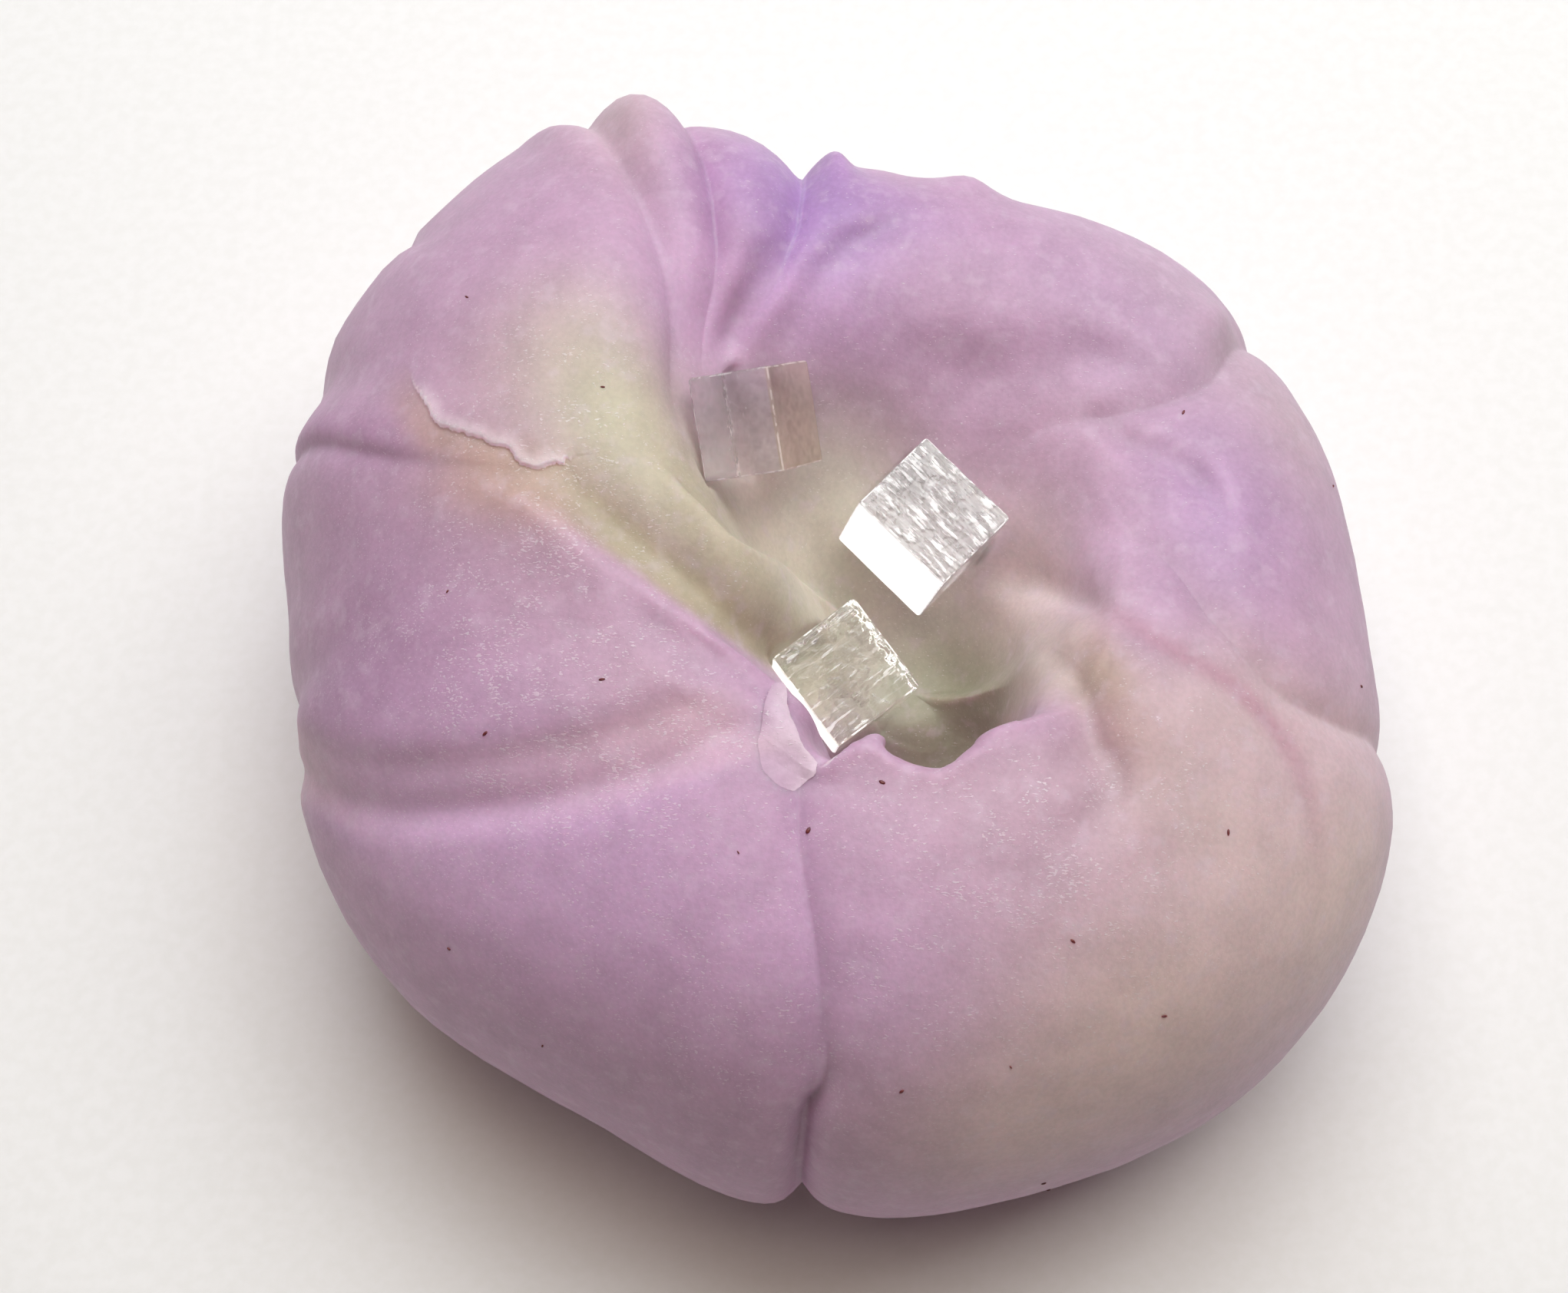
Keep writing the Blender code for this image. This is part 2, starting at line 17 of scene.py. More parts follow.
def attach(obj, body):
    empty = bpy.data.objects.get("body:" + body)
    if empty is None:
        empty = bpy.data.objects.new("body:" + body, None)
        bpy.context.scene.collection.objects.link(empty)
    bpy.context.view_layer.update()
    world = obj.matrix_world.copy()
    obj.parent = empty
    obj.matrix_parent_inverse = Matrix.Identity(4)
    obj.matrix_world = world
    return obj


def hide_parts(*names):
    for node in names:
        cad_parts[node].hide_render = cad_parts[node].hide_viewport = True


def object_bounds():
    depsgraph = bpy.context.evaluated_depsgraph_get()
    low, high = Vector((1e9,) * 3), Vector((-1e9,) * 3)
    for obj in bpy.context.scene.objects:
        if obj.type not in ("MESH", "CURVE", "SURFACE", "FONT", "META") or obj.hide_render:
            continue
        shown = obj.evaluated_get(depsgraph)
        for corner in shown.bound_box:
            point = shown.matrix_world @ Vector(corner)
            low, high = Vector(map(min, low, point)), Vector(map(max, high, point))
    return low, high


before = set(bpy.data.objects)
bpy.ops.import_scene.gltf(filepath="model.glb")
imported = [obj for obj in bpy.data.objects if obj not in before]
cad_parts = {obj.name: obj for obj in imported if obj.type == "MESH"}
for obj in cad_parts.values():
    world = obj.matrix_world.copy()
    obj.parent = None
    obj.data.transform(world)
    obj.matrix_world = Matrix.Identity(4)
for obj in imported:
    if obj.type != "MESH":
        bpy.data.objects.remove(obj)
cad_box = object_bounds()

MM = 0.001

# The skin is one sheet of rings, from the floor of the throat (0) over the crest of the petals (1),
# the widest girth (2) and the rim of the foot (3) to the middle of the underside (4).
THROAT, CREST, GIRTH, FOOT, UNDERSIDE = 0.0, 1.0, 2.0, 3.0, 4.0
RING_LENGTH = 16.0  # the rough length of skin between two of those rings

FRAME_SHIFT = (0.84, -0.92)  # brings the middle of the finished sweet over the origin
THROAT_CENTRE = (3.0, -1.6)
CREST_CENTRE = (0.8, 0.0)
THROAT_FLOOR = 13.0
GIRTH_HEIGHT = 10.5
FOOT_RADIUS = 16.5
FOOT_CURVE = 0.8  # the lower it is, the longer the skin keeps its girth before it turns in to the foot
FLOOR_ROUNDING = 0.2

# Each list goes round the sweet as (angle, value), and a smooth closed curve joins its values.
GIRTH_RADIUS = (
    (0, 22.7), (25, 23.4), (50, 23.9), (75, 22.1), (95, 23.3), (112, 27.2), (135, 27.5),
    (160, 26.2), (178, 23.6), (192, 24.0), (215, 23.4), (240, 21.9), (265, 23.0), (290, 23.5),
    (315, 24.7), (340, 24.5),
)
CREST_RADIUS = (
    (0, 13.5), (45, 14.5), (90, 15.0), (120, 15.0), (150, 14.0), (180, 11.3), (210, 9.6),
    (240, 9.0), (270, 9.6), (300, 11.0), (330, 12.5),
)
CREST_HEIGHT = (
    (0, 23.0), (45, 22.5), (90, 23.5), (115, 25.3), (150, 25.6), (180, 25.0), (210, 24.5),
    (240, 25.0), (270, 25.0), (320, 24.5),
)

# The wall of the throat is steepest at this share of the crest's radius, and the higher its steepness,
# the more it is a cliff with a flat floor and not a funnel.
WALL_PLACE = (
    (0, 0.36), (60, 0.48), (120, 0.49), (145, 0.34), (165, 0.27), (188, 0.3), (208, 0.38),
    (235, 0.44), (260, 0.54), (268, 0.49), (275, 0.55), (285, 0.58), (293, 0.52), (301, 0.46),
    (311, 0.41), (325, 0.32), (342, 0.29),
)
WALL_STEEPNESS = (
    (0, 1.4), (60, 1.3), (120, 1.5), (150, 2.2), (175, 2.8), (200, 3.0), (235, 3.4), (262, 7.0),
    (303, 7.0), (316, 3.0), (330, 1.6),
)

# A crease runs along path, a list of (ring, angle) from its inner to its outer end. It is cut to depth,
# and its sides rise over width: power 1 makes a sharp pressed line and 2 a round groove, and a negative
# depth is a ridge. sink draws a band of skin, spread wide, down with it. With lip, the skin on its
# counter-clockwise side stands over the other side, in a step that is twice edge wide and dies away over
# reach. fade is the share of the path over which each end runs out.
Crease = namedtuple(
    "Crease",
    "path fade depth width power sink spread lip edge reach",
    defaults=(0.0, 1.2, 2.0, 0.0, 3.0, 0.0, 0.25, 2.5),
)
CREASES = {
    "upper_left": Crease(
        path=((0.94, 163.5), (1.0, 165.5), (1.1, 166), (1.34, 165), (1.57, 162), (2.0, 159.5), (2.9, 159)),
        depth=0.45, width=0.7, power=1.3, lip=-0.5, reach=4.0, fade=(0.42, 0.12),
    ),
    "petal_edge": Crease(
        path=((0.62, 226), (0.68, 218), (0.71, 208), (0.74, 197), (0.8, 188), (0.94, 178), (1.05, 171),
            (1.2, 169)),
        lip=0.8, edge=0.6, reach=2.4, fade=(0.2, 0.3),
    ),
    "upper_left_valley": Crease(
        path=((0.4, 210), (0.5, 202), (0.6, 194), (0.69, 185), (0.79, 176), (0.91, 170), (1.08, 166.5)),
        depth=0.4, width=1.3, fade=(0.2, 0.35),
    ),
    "tongue": Crease(
        path=((0.24, 134), (0.3, 138), (0.36, 146), (0.42, 157), (0.48, 166), (0.54, 168), (0.6, 161),
            (0.72, 153)),
        lip=1.1, edge=0.2, reach=2.6, fade=(0.08, 0.4),
    ),
    "lower_left": Crease(
        path=((0.7, 240), (0.82, 236), (1.04, 230), (1.14, 224.5), (1.24, 219.5), (1.38, 212.5), (1.54, 206),
            (1.79, 195), (2.2, 188.5), (2.9, 188)),
        depth=0.35, width=0.8, fade=(0.15, 0.12),
    ),
    "lower_left_slope": Crease(
        path=((0.75, 226), (0.93, 221), (1.08, 214.5), (1.2, 210), (1.33, 205), (1.5, 199), (1.7, 191),
            (2.1, 186), (2.9, 185)),
        lip=-0.8, edge=0.8, reach=6.0, fade=(0.12, 0.35),
    ),
    "front_seam": Crease(
        path=((0.8, 250), (1.0, 253), (1.12, 256.5), (1.24, 261), (1.37, 264), (1.6, 264.5), (2.0, 265),
            (2.9, 265)),
        depth=0.4, width=0.7, power=1.3, sink=0.35, spread=2.5, fade=(0.12, 0.12),
    ),
    "front_seam_foot": Crease(
        path=((1.4, 265), (1.56, 266), (1.66, 264), (1.8, 264), (2.0, 264.5), (2.9, 265)),
        depth=0.8, width=0.6, power=1.0, lip=-0.5, reach=2.0, fade=(0.15, 0.15),
    ),
    "inner_arc": Crease(
        path=((0.35, 0), (0.48, -14), (0.63, -24), (0.8, -32), (0.93, -38), (1.06, -42), (1.14, -50),
            (1.24, -60)),
        depth=0.9, width=1.6, lip=1.2, edge=0.6, reach=4.0, fade=(0.45, 0.35),
    ),
    "pocket": Crease(
        path=((0.3, 40), (0.4, 25), (0.48, 10), (0.6, -3), (0.72, -11)),
        depth=0.8, width=1.2, power=1.3, lip=-0.7, edge=0.4, reach=2.5, fade=(0.25, 0.4),
    ),
    "middle_arc": Crease(
        path=((0.55, 0), (0.66, -8), (0.84, -15), (1.05, -18), (1.24, -22), (1.35, -26), (1.49, -33),
            (1.6, -40)),
        depth=0.3, width=1.0, lip=0.25, edge=0.5, reach=3.0, fade=(0.3, 0.4),
    ),
    "outer_arc": Crease(
        path=((0.6, 21), (0.72, 13), (0.83, 5), (1.03, -9), (1.21, -16), (1.39, -16), (1.6, -13.5),
            (2.9, -12)),
        depth=0.45, width=0.8, power=1.3, sink=0.2, spread=2.5, fade=(0.2, 0.15),
    ),
    "right_upper": Crease(
        path=((0.45, 62), (0.63, 52), (0.78, 41), (0.94, 34.5), (1.2, 32.5), (1.36, 35), (2.0, 36),
            (2.9, 36)),
        depth=0.5, width=0.9, power=1.3, sink=0.3, spread=3.0, fade=(0.25, 0.15),
    ),
    "right_back": Crease(
        path=((0.55, 78), (0.69, 67), (0.8, 55), (0.97, 45), (1.1, 41)), depth=0.4, width=1.6, fade=(0.3, 0.3)
    ),
    "right_short": Crease(
        path=((0.76, 38), (0.84, 31), (0.96, 21), (1.09, 12)), depth=0.4, width=0.9, fade=(0.3, 0.3)
    ),
    "top_deep": Crease(
        path=((0.62, 124), (0.74, 114), (0.84, 106), (0.99, 100), (1.16, 97.5), (1.4, 95.5), (2.0, 94.5),
            (2.9, 94)),
        depth=1.2, width=0.8, power=1.0, sink=0.35, spread=2.0, lip=-0.5, edge=0.3, reach=1.3,
        fade=(0.2, 0.12),
    ),
    "top_left": Crease(
        path=((0.62, 131), (0.77, 122), (0.91, 115), (1.1, 111), (1.35, 109.2), (2.0, 108.5), (2.9, 108)),
        depth=0.8, width=0.7, power=1.0, sink=0.3, spread=1.5, fade=(0.2, 0.15),
    ),
    "top_middle": Crease(
        path=((0.66, 121), (0.75, 116), (0.88, 108), (1.02, 105)), depth=0.5, width=0.6, fade=(0.3, 0.4)
    ),
    "top_right": Crease(
        path=((0.6, 110), (0.73, 104), (0.85, 98), (1.07, 86), (1.2, 83)),
        depth=0.5, width=0.9, fade=(0.3, 0.4),
    ),
    "top_boundary": Crease(
        path=((0.55, 150), (0.69, 139), (0.83, 128), (0.96, 124), (1.09, 121.5), (1.35, 118.8), (2.0, 118),
            (2.9, 118)),
        depth=0.7, width=0.9, power=1.3, sink=0.4, spread=2.2, lip=0.6, edge=0.4, reach=4.0,
        fade=(0.2, 0.2),
    ),
    "left_rim": Crease(
        path=((1.35, 138), (1.6, 138), (2.0, 138), (2.6, 138)), depth=0.4, width=0.6, fade=(0.3, 0.3)
    ),
}
# These creases have a column of the mesh along their bottom.
ALIGNED = (
    "outer_arc", "right_upper", "top_deep", "top_left", "top_boundary", "upper_left", "lower_left",
    "front_seam", "inner_arc",
)

# A soft dome on the skin or, with a height below 0, a hollow in it. length and breadth are half its size,
# round the sweet and towards the foot.
Swell = namedtuple("Swell", "angle ring length breadth height")
SWELLS = (
    Swell(280, 0.42, 3.6, 3.0, -1.8), Swell(117, 0.64, 3.5, 4.5, -2.0), Swell(205, 0.3, 3.4, 3.4, 1.2),
    Swell(92.6, 1.42, 0.7, 3.0, 0.8), Swell(113.8, 1.42, 2.2, 4.0, 1.6), Swell(121, 1.5, 1.0, 3.0, 0.5),
    Swell(155, 1.9, 2.2, 8.0, -1.1), Swell(186, 1.95, 1.6, 6.0, -0.9), Swell(75.5, 1.42, 1.4, 2.4, 0.6),
    Swell(40, 1.35, 1.2, 2.0, 0.5),
)

# A torn edge runs along path, a list of (ring, angle, rise, drop). The skin on its left, seen from
# outside with the end of the path upwards, stands rise over the rest and dies away over reach, and on
# its right the skin falls away by drop, over fall. The edge is twice edge wide and ragged by up to rag,
# and it is pale over rim, with a fainter halo behind that: the torn paste's own paler colour, with a
# painted highlight along the edge.
Tear = namedtuple("Tear", "path reach fall edge rag rim halo")
TEARS = {
    "flap": Tear(
        path=((0.92, 161, 0.02, 0.0), (0.95, 162, 0.08, 0.03), (0.97, 163.5, 0.12, 0.05),
            (1.0, 164.6, 0.14, 0.06), (1.05, 165, 0.14, 0.06), (1.08, 163.6, 0.14, 0.06),
            (1.12, 162.8, 0.14, 0.06), (1.17, 162.1, 0.14, 0.06), (1.22, 161.6, 0.14, 0.06),
            (1.25, 160.3, 0.12, 0.05), (1.28, 157.8, 0.1, 0.03), (1.31, 156.3, 0.06, 0.0),
            (1.36, 153.5, 0.0, 0.0)),
        reach=3.2, fall=1.2, edge=0.05, rag=1.0, rim=0.16, halo=0.55,
    ),
    "lip": Tear(
        path=((0.97, 256, 0.0, 0.0), (0.9, 258.5, 0.08, 0.3), (0.79, 261.4, 0.15, 0.8),
            (0.73, 266, 0.18, 1.1), (0.71, 270.3, 0.2, 1.1), (0.79, 273.2, 0.15, 1.2), (0.8, 277, 0.15, 1.2),
            (0.82, 281, 0.15, 1.2), (0.84, 284, 0.15, 1.2), (0.83, 287, 0.15, 1.2), (0.76, 292.6, 0.15, 1.1),
            (0.7, 299.6, 0.15, 1.0), (0.665, 303.7, 0.12, 0.7), (0.64, 309.6, 0.08, 0.3),
            (0.67, 315, 0.0, 0.0)),
        reach=1.4, fall=1.6, edge=0.09, rag=0.35, rim=0.16, halo=0.15,
    ),
}
RISE, DROP = 2, 3  # their places in a point of a tear's path
TEAR_STEPS = 400
FAR = 1000.0  # past every torn edge
LEAST_RADIUS = 7.0  # about how near the torn edges come to the middle of their ring
FULL_RIM_RISE = 1 / 9  # where an edge rises this far, its rim is at its palest
FULL_RECESS_RISE = 0.14  # and where it rises this far, the hollow beside it has most of its own paint
# That paint is partly the paste's own brown and partly painted shade under the raised edge.
RECESS_SHARE = 0.7
TEAR_SEED, FLAKE_SEED = 3.7, 7.3
RAGS = ((1.1, 0.24), (0.45, 0.16), (0.16, 0.08))  # (size, height) of the tears in an edge
TEAR_BAND = 0.75  # the mesh is finer within this distance of a torn edge
TEAR_CUTS = 3
HALO_WIDTH = 1.3

# Each jelly cube is turned about its own upright axis, and then leans by an angle towards a direction on
# the plan.
Cube = namedtuple("Cube", "centre sides turn lean towards")
CUBES = {
    "jelly_cube_back": Cube((-3.6, 6.6, 23.0), (3.6, 4.3, 4.4), 3.7, 37.0, 231.0),
    "jelly_cube_right": Cube((3.2, 3.6, 19.0), (4.3, 4.9, 4.6), 46.8, 10.5, -18.0),
    "jelly_cube_front": Cube((-0.1, -3.0, 19.3), (4.2, 4.5, 4.2), 37.0, 13.5, -85.0),
}
JELLY_BEVEL = 0.16
JELLY_ROUNDING = 3
JELLY_CLEARANCE = 0.1  # between a cube and the dent that it has pressed into the paste
JELLY_SINK = 0.06  # how far the cut faces lie inside the plain cube, so that no wave stands out of it
PRESS_STEPS = 24
EASE_STEPS = 12

# The mesh is a sphere's net laid over the skin: its rows follow rings, and its columns follow the creases.
COLUMNS = 392
ROW_RINGS = (THROAT, 0.15, 0.6, CREST, GIRTH, FOOT, UNDERSIDE)
ROWS = (10, 52, 34, 64, 34, 8)  # how many rows lie between two of those rings
CROWDING = 0.6  # how closely the columns gather at the creases
FOOT_DROP = 0.35  # no crease reaches below this height


def hermite(x, knots, values):
    """A smooth curve through the knots, for an array x inside their range."""
    knots, values = np.asarray(knots, float), np.asarray(values, float)
    slopes = np.gradient(values, knots)
    i = np.clip(np.searchsorted(knots, x, side="right") - 1, 0, len(knots) - 2)
    span = knots[i + 1] - knots[i]
    t = np.clip((x - knots[i]) / span, 0, 1)
    rise = t * t * (3 - 2 * t)
    start = t * (1 - t) ** 2 * span * slopes[i]
    end = t * t * (t - 1) * span * slopes[i + 1]
    return values[i] * (1 - rise) + values[i + 1] * rise + start + end


def evenly(share, values):
    """A smooth curve through values that are spread evenly over the shares from 0 to 1."""
    return hermite(share, np.linspace(0, 1, len(values)), values)


def around(angle, knots):
    """The value at each angle on the closed smooth curve through (angle, value) knots."""
    angles = [a for a, _ in knots]
    values = [v for _, v in knots]
    wide_angles = [a - 360 for a in angles[-3:]] + angles + [a + 360 for a in angles[:3]]
    wide_values = values[-3:] + values + values[:3]
    return hermite(np.mod(angle, 360), wide_angles, wide_values)


def smoothstep(x, low, high):
    t = np.clip((x - low) / (high - low), 0, 1)
    return t * t * (3 - 2 * t)


def plan_radius(angle, ring):
    """How far the plain skin lies from the middle of its ring."""
    girth = around(angle, GIRTH_RADIUS)
    crest = around(angle, CREST_RADIUS)
    over = np.sin(np.clip(ring - CREST, 0, 1) * math.pi / 2)
    below = np.clip(np.cos(np.clip(ring - GIRTH, 0, 1) * math.pi / 2), 0, 1) ** FOOT_CURVE
    under = 1 - np.clip(ring - FOOT, 0, 1)
    flank = FOOT_RADIUS + (girth - FOOT_RADIUS) * below
    outside = np.where(ring <= GIRTH, crest + (girth - crest) * over, flank)
    inside = crest * np.clip(ring, 0, 1)
    return np.where(ring <= CREST, inside, np.where(ring <= FOOT, outside, FOOT_RADIUS * under))


def plain_height(angle, ring):
    """The height of the plain skin over the surface that the sweet stands on."""
    top = around(angle, CREST_HEIGHT)
    wall, steepness = around(angle, WALL_PLACE), around(angle, WALL_STEEPNESS)
    eased = np.sqrt(np.clip(ring, 0, 1) ** 2 + FLOOR_ROUNDING**2) - FLOOR_ROUNDING
    climbed = 1 - np.exp(-((eased / wall) ** steepness)) * (1 - np.clip(ring, 0, 1) ** (2 * steepness)) ** 2
    throat = THROAT_FLOOR + (top - THROAT_FLOOR) * climbed
    over = GIRTH_HEIGHT + (top - GIRTH_HEIGHT) * np.cos(np.clip(ring - CREST, 0, 1) * math.pi / 2)
    below = GIRTH_HEIGHT * (1 - np.sin(np.clip(ring - GIRTH, 0, 1) * math.pi / 2))
    return np.where(ring <= CREST, throat, np.where(ring <= GIRTH, over, below))


def plain_point(angle, ring):
    """The bun with its throat, before any crease: arrays of angles and rings to points."""
    to_crest = smoothstep(ring, THROAT, CREST)
    to_girth = smoothstep(ring, CREST, GIRTH)
    x, y = (THROAT_CENTRE[k] * (1 - to_crest) + CREST_CENTRE[k] * to_crest * (1 - to_girth) for k in (0, 1))
    radius = plan_radius(angle, ring)
    turn = np.radians(angle)
    height = plain_height(angle, ring)
    return np.stack([x + radius * np.cos(turn), y + radius * np.sin(turn), height], axis=-1)


def outward(angle, ring):
    """The unit normal of the plain skin, upright at the two ends of the sheet, where all angles meet."""
    along = plain_point(angle + 0.5, ring) - plain_point(angle - 0.5, ring)
    across = plain_point(angle, ring + 0.005) - plain_point(angle, ring - 0.005)
    normal = np.cross(across, along)
    length = np.linalg.norm(normal, axis=-1, keepdims=True)
    upright = np.where(np.asarray(ring)[..., None] < CREST, 1.0, -1.0) * np.array((0.0, 0.0, 1.0))
    return np.where(length > 1e-6, normal / np.maximum(length, 1e-6), upright)


def wrapped(angle):
    return np.mod(angle + 180, 360) - 180


def path_angle(path, ring):
    """Where a path lies at each ring."""
    rings = [r for r, _ in path]
    return hermite(np.clip(ring, rings[0], rings[-1]), rings, [a for _, a in path])


def beside(crease, angle, ring, radius):
    """How far each point lies counter-clockwise of a crease, and how much of the crease is left there."""
    first, last = crease.path[0][0], crease.path[-1][0]
    offset = wrapped(angle - path_angle(crease.path, ring))
    slant = (path_angle(crease.path, ring + 0.01) - path_angle(crease.path, ring - 0.01)) / 0.02
    lean = np.radians(slant) * radius / RING_LENGTH
    across = np.radians(offset) * radius / np.sqrt(1 + lean**2)
    share = (ring - first) / (last - first)
    return across, smoothstep(share, 0, crease.fade[0]) * (1 - smoothstep(share, 1 - crease.fade[1], 1))


def crease_relief(crease, angle, ring, radius):
    """How far one crease moves the skin along its normal."""
    across, live = beside(crease, angle, ring, radius)
    far = np.abs(across)
    cut = crease.depth * np.exp(-((far / crease.width) ** crease.power))
    band = crease.sink * np.exp(-((far / crease.spread) ** 2))
    raised_side = 0.5 + 0.5 * np.tanh(math.copysign(1, crease.lip) * across / crease.edge)
    step = abs(crease.lip) * raised_side * np.exp(-far / crease.reach)
    return live * (step - cut - band)


def spot_strength(spot, angle, ring, radius):
    """How much of a swell or a patch there is at each point, from 0 to 1."""
    u = np.radians(wrapped(angle - spot.angle)) * radius
    v = (ring - spot.ring) * RING_LENGTH
    return np.exp(-((u / spot.length) ** 2) - (v / spot.breadth) ** 2)


def cube_pose(cube):
    """A cube's turn and lean as a 3 by 3 matrix."""
    towards = math.radians(cube.towards)
    axis = Vector((-math.sin(towards), math.cos(towards), 0))
    turn, lean = math.radians(cube.turn), math.radians(cube.lean)
    return Matrix.Rotation(lean, 3, axis) @ Matrix.Rotation(turn, 3, "Z")


def outside_cube(cube, point):
    """How far each point lies outside a cube, below 0 inside it, and the way straight out from there."""
    pose = np.array(cube_pose(cube))
    local = (point - np.array(cube.centre)) @ pose
    beyond = np.abs(local) - np.array(cube.sides) / 2
    deepest = beyond == beyond.max(axis=-1, keepdims=True)
    out = np.where(beyond.max(axis=-1, keepdims=True) > 0, np.maximum(beyond, 0), deepest)
    length = np.linalg.norm(out, axis=-1, keepdims=True)
    distance = np.linalg.norm(np.maximum(beyond, 0), axis=-1) + np.minimum(beyond.max(axis=-1), 0)
    return distance, (np.sign(local) * out / length) @ pose.T


def off_cubes(point):
    """How far each point lies outside the nearest cube, below 0 inside it."""
    return np.min([outside_cube(cube, point)[0] for cube in CUBES.values()], axis=0)


def dented(point, normal):
    """The net of the skin after it has given way to the jelly cubes: sunk along its normal, then eased."""
    for _ in range(PRESS_STEPS):
        point = point - normal * np.maximum(JELLY_CLEARANCE - off_cubes(point), 0)[..., None]
    for _ in range(EASE_STEPS):
        slack = 0.5 * (1 - smoothstep(off_cubes(point), JELLY_CLEARANCE, 2 * JELLY_CLEARANCE))
        sides = np.roll(point, 1, axis=0) + np.roll(point, -1, axis=0)
        ends = point[:, :-2] + point[:, 2:]
        eased = (sides[:, 1:-1] + ends) / 4
        point[:, 1:-1] += (eased - point[:, 1:-1]) * slack[:, 1:-1, None]
        for cube in CUBES.values():
            distance, way_out = outside_cube(cube, point)
            point = point + way_out * np.maximum(JELLY_CLEARANCE - distance, 0)[..., None]
    return point


def ragged(place, seed):
    """How far a torn edge strays at a place along it."""
    return sum(height * noise.noise(Vector((place / size, seed, 1.3))) for size, height in RAGS)


def from_tear(tear, angle, ring):
    """How far points lie over the raised side of a torn edge, and how far along its path, from 0 to 1."""
    share = np.linspace(0, 1, TEAR_STEPS)
    edge_ring, edge_angle = (evenly(share, [place[k] for place in tear.path]) for k in (0, 1))
    radius = plan_radius(angle, ring)
    tangent = np.radians(np.gradient(edge_angle)) * plan_radius(edge_angle, edge_ring)
    rise = np.gradient(edge_ring) * RING_LENGTH
    reach = tear.reach * 2 + tear.fall
    across, along = np.full(angle.shape, -FAR), np.zeros(angle.shape)
    near = (ring > edge_ring.min() - reach / RING_LENGTH) & (ring < edge_ring.max() + reach / RING_LENGTH)
    beyond = np.degrees(reach / LEAST_RADIUS)
    near &= np.abs(wrapped(angle - edge_angle.mean())) < np.ptp(edge_angle) / 2 + beyond
    u = np.radians(wrapped(angle[near][:, None] - edge_angle)) * radius[near][:, None]
    v = (ring[near][:, None] - edge_ring) * RING_LENGTH
    closest = np.argmin(u**2 + v**2, axis=1)
    rows = np.arange(len(closest))
    u, v = u[rows, closest], v[rows, closest]
    side = np.sign(tangent[closest] * v - rise[closest] * u)
    length = np.hypot(tangent, rise).sum()
    rag = np.array([ragged(s * length, TEAR_SEED) for s in share])
    across[near] = side * np.hypot(u, v) - tear.rag * rag[closest]
    along[near] = share[closest]
    return across, along


def tear_height(tear, along, field):
    """How far the edge rises, or drops, at each place along it."""
    return np.maximum(evenly(along, [place[field] for place in tear.path]), 0)


def tear_relief(tear, angle, ring):
    """How far a torn edge moves the skin along its normal."""
    across, along = from_tear(tear, angle, ring)
    raised = 0.5 + 0.5 * np.tanh(across / tear.edge)
    above = raised * tear_height(tear, along, RISE) * np.exp(-((across / tear.reach) ** 2))
    return above - (1 - raised) * tear_height(tear, along, DROP) * np.exp(-((across / tear.fall) ** 2))


def torn_rim(tear, angle, ring):
    """How pale a torn edge leaves the skin, from 0 to 1: its own paler colour with a painted highlight."""
    across, along = from_tear(tear, angle, ring)
    core = 1 - smoothstep(across, 0.3 * tear.rim, tear.rim)
    halo = tear.halo * (1 - smoothstep(across, 0, HALO_WIDTH))
    live = np.clip(tear_height(tear, along, RISE) / FULL_RIM_RISE, 0, 1)
    return smoothstep(across, -2 * tear.edge, 0) * np.maximum(core, halo) * live


def recess(tear, angle, ring):
    """How deep in the hollow beside a torn edge each point lies, from 0 to 1, as the strength of its paint,
    partly painted shade under the raised edge.
    """
    across, along = from_tear(tear, angle, ring)
    near = smoothstep(-across, 0, tear.edge) * (1 - smoothstep(-across, 0.4 * tear.fall, 1.5 * tear.fall))
    return near * RECESS_SHARE * np.clip(tear_height(tear, along, RISE) / FULL_RECESS_RISE, 0, 1)


def above_foot(height):
    """How much of its relief the skin has at each height, from 0 at the foot to 1."""
    return smoothstep(height, FOOT_DROP, 5 * FOOT_DROP)


def skin_point(angle, ring):
    """The skin with its creases, swells and torn edges, before the jelly cubes lie in it."""
    radius = plan_radius(angle, ring)
    relief = sum(crease_relief(c, angle, ring, radius) for c in CREASES.values())
    relief = relief + sum(s.height * spot_strength(s, angle, ring, radius) for s in SWELLS)
    relief = relief + sum(tear_relief(t, angle, ring) for t in TEARS.values())
    plain = plain_point(angle, ring)
    relief = relief * above_foot(plain[..., 2])
    return plain + outward(angle, ring) * relief[..., None]


def placed(point):
    """A point of the shape, in millimetres, as a point of the scene."""
    return Vector((point[0] + FRAME_SHIFT[0], point[1] + FRAME_SHIFT[1], point[2])) * MM


def net(columns, rows):
    """The angle and the ring of each point of the net, as arrays of columns by rows + 1."""
    paths = sorted((CREASES[name].path for name in ALIGNED), key=lambda path: path_angle(path, GIRTH) % 360)
    marked = np.array([[float(path_angle(path, ring)) for ring in (THROAT, CREST, GIRTH)] for path in paths])
    gaps = np.mod(np.roll(marked, -1, axis=0) - marked, 360).mean(axis=1)
    marks = np.round(np.cumsum([0, *gaps]) / gaps.sum() * columns).astype(int)
    share = np.concatenate([np.arange(b - a) / (b - a) for a, b in zip(marks[:-1], marks[1:])])
    share = share - CROWDING * np.sin(2 * math.pi * share) / (2 * math.pi)
    gap = np.concatenate([np.full(b - a, i) for i, (a, b) in enumerate(zip(marks[:-1], marks[1:]))])
    ring = np.interp(np.arange(rows + 1), np.cumsum([0, *ROWS]), ROW_RINGS)
    at = np.array([path_angle(path, ring) for path in paths])
    before = at[gap]
    after = at[(gap + 1) % len(paths)]
    angle = before + np.mod(after - before, 360) * share[:, None]
    return angle, np.broadcast_to(ring, angle.shape)
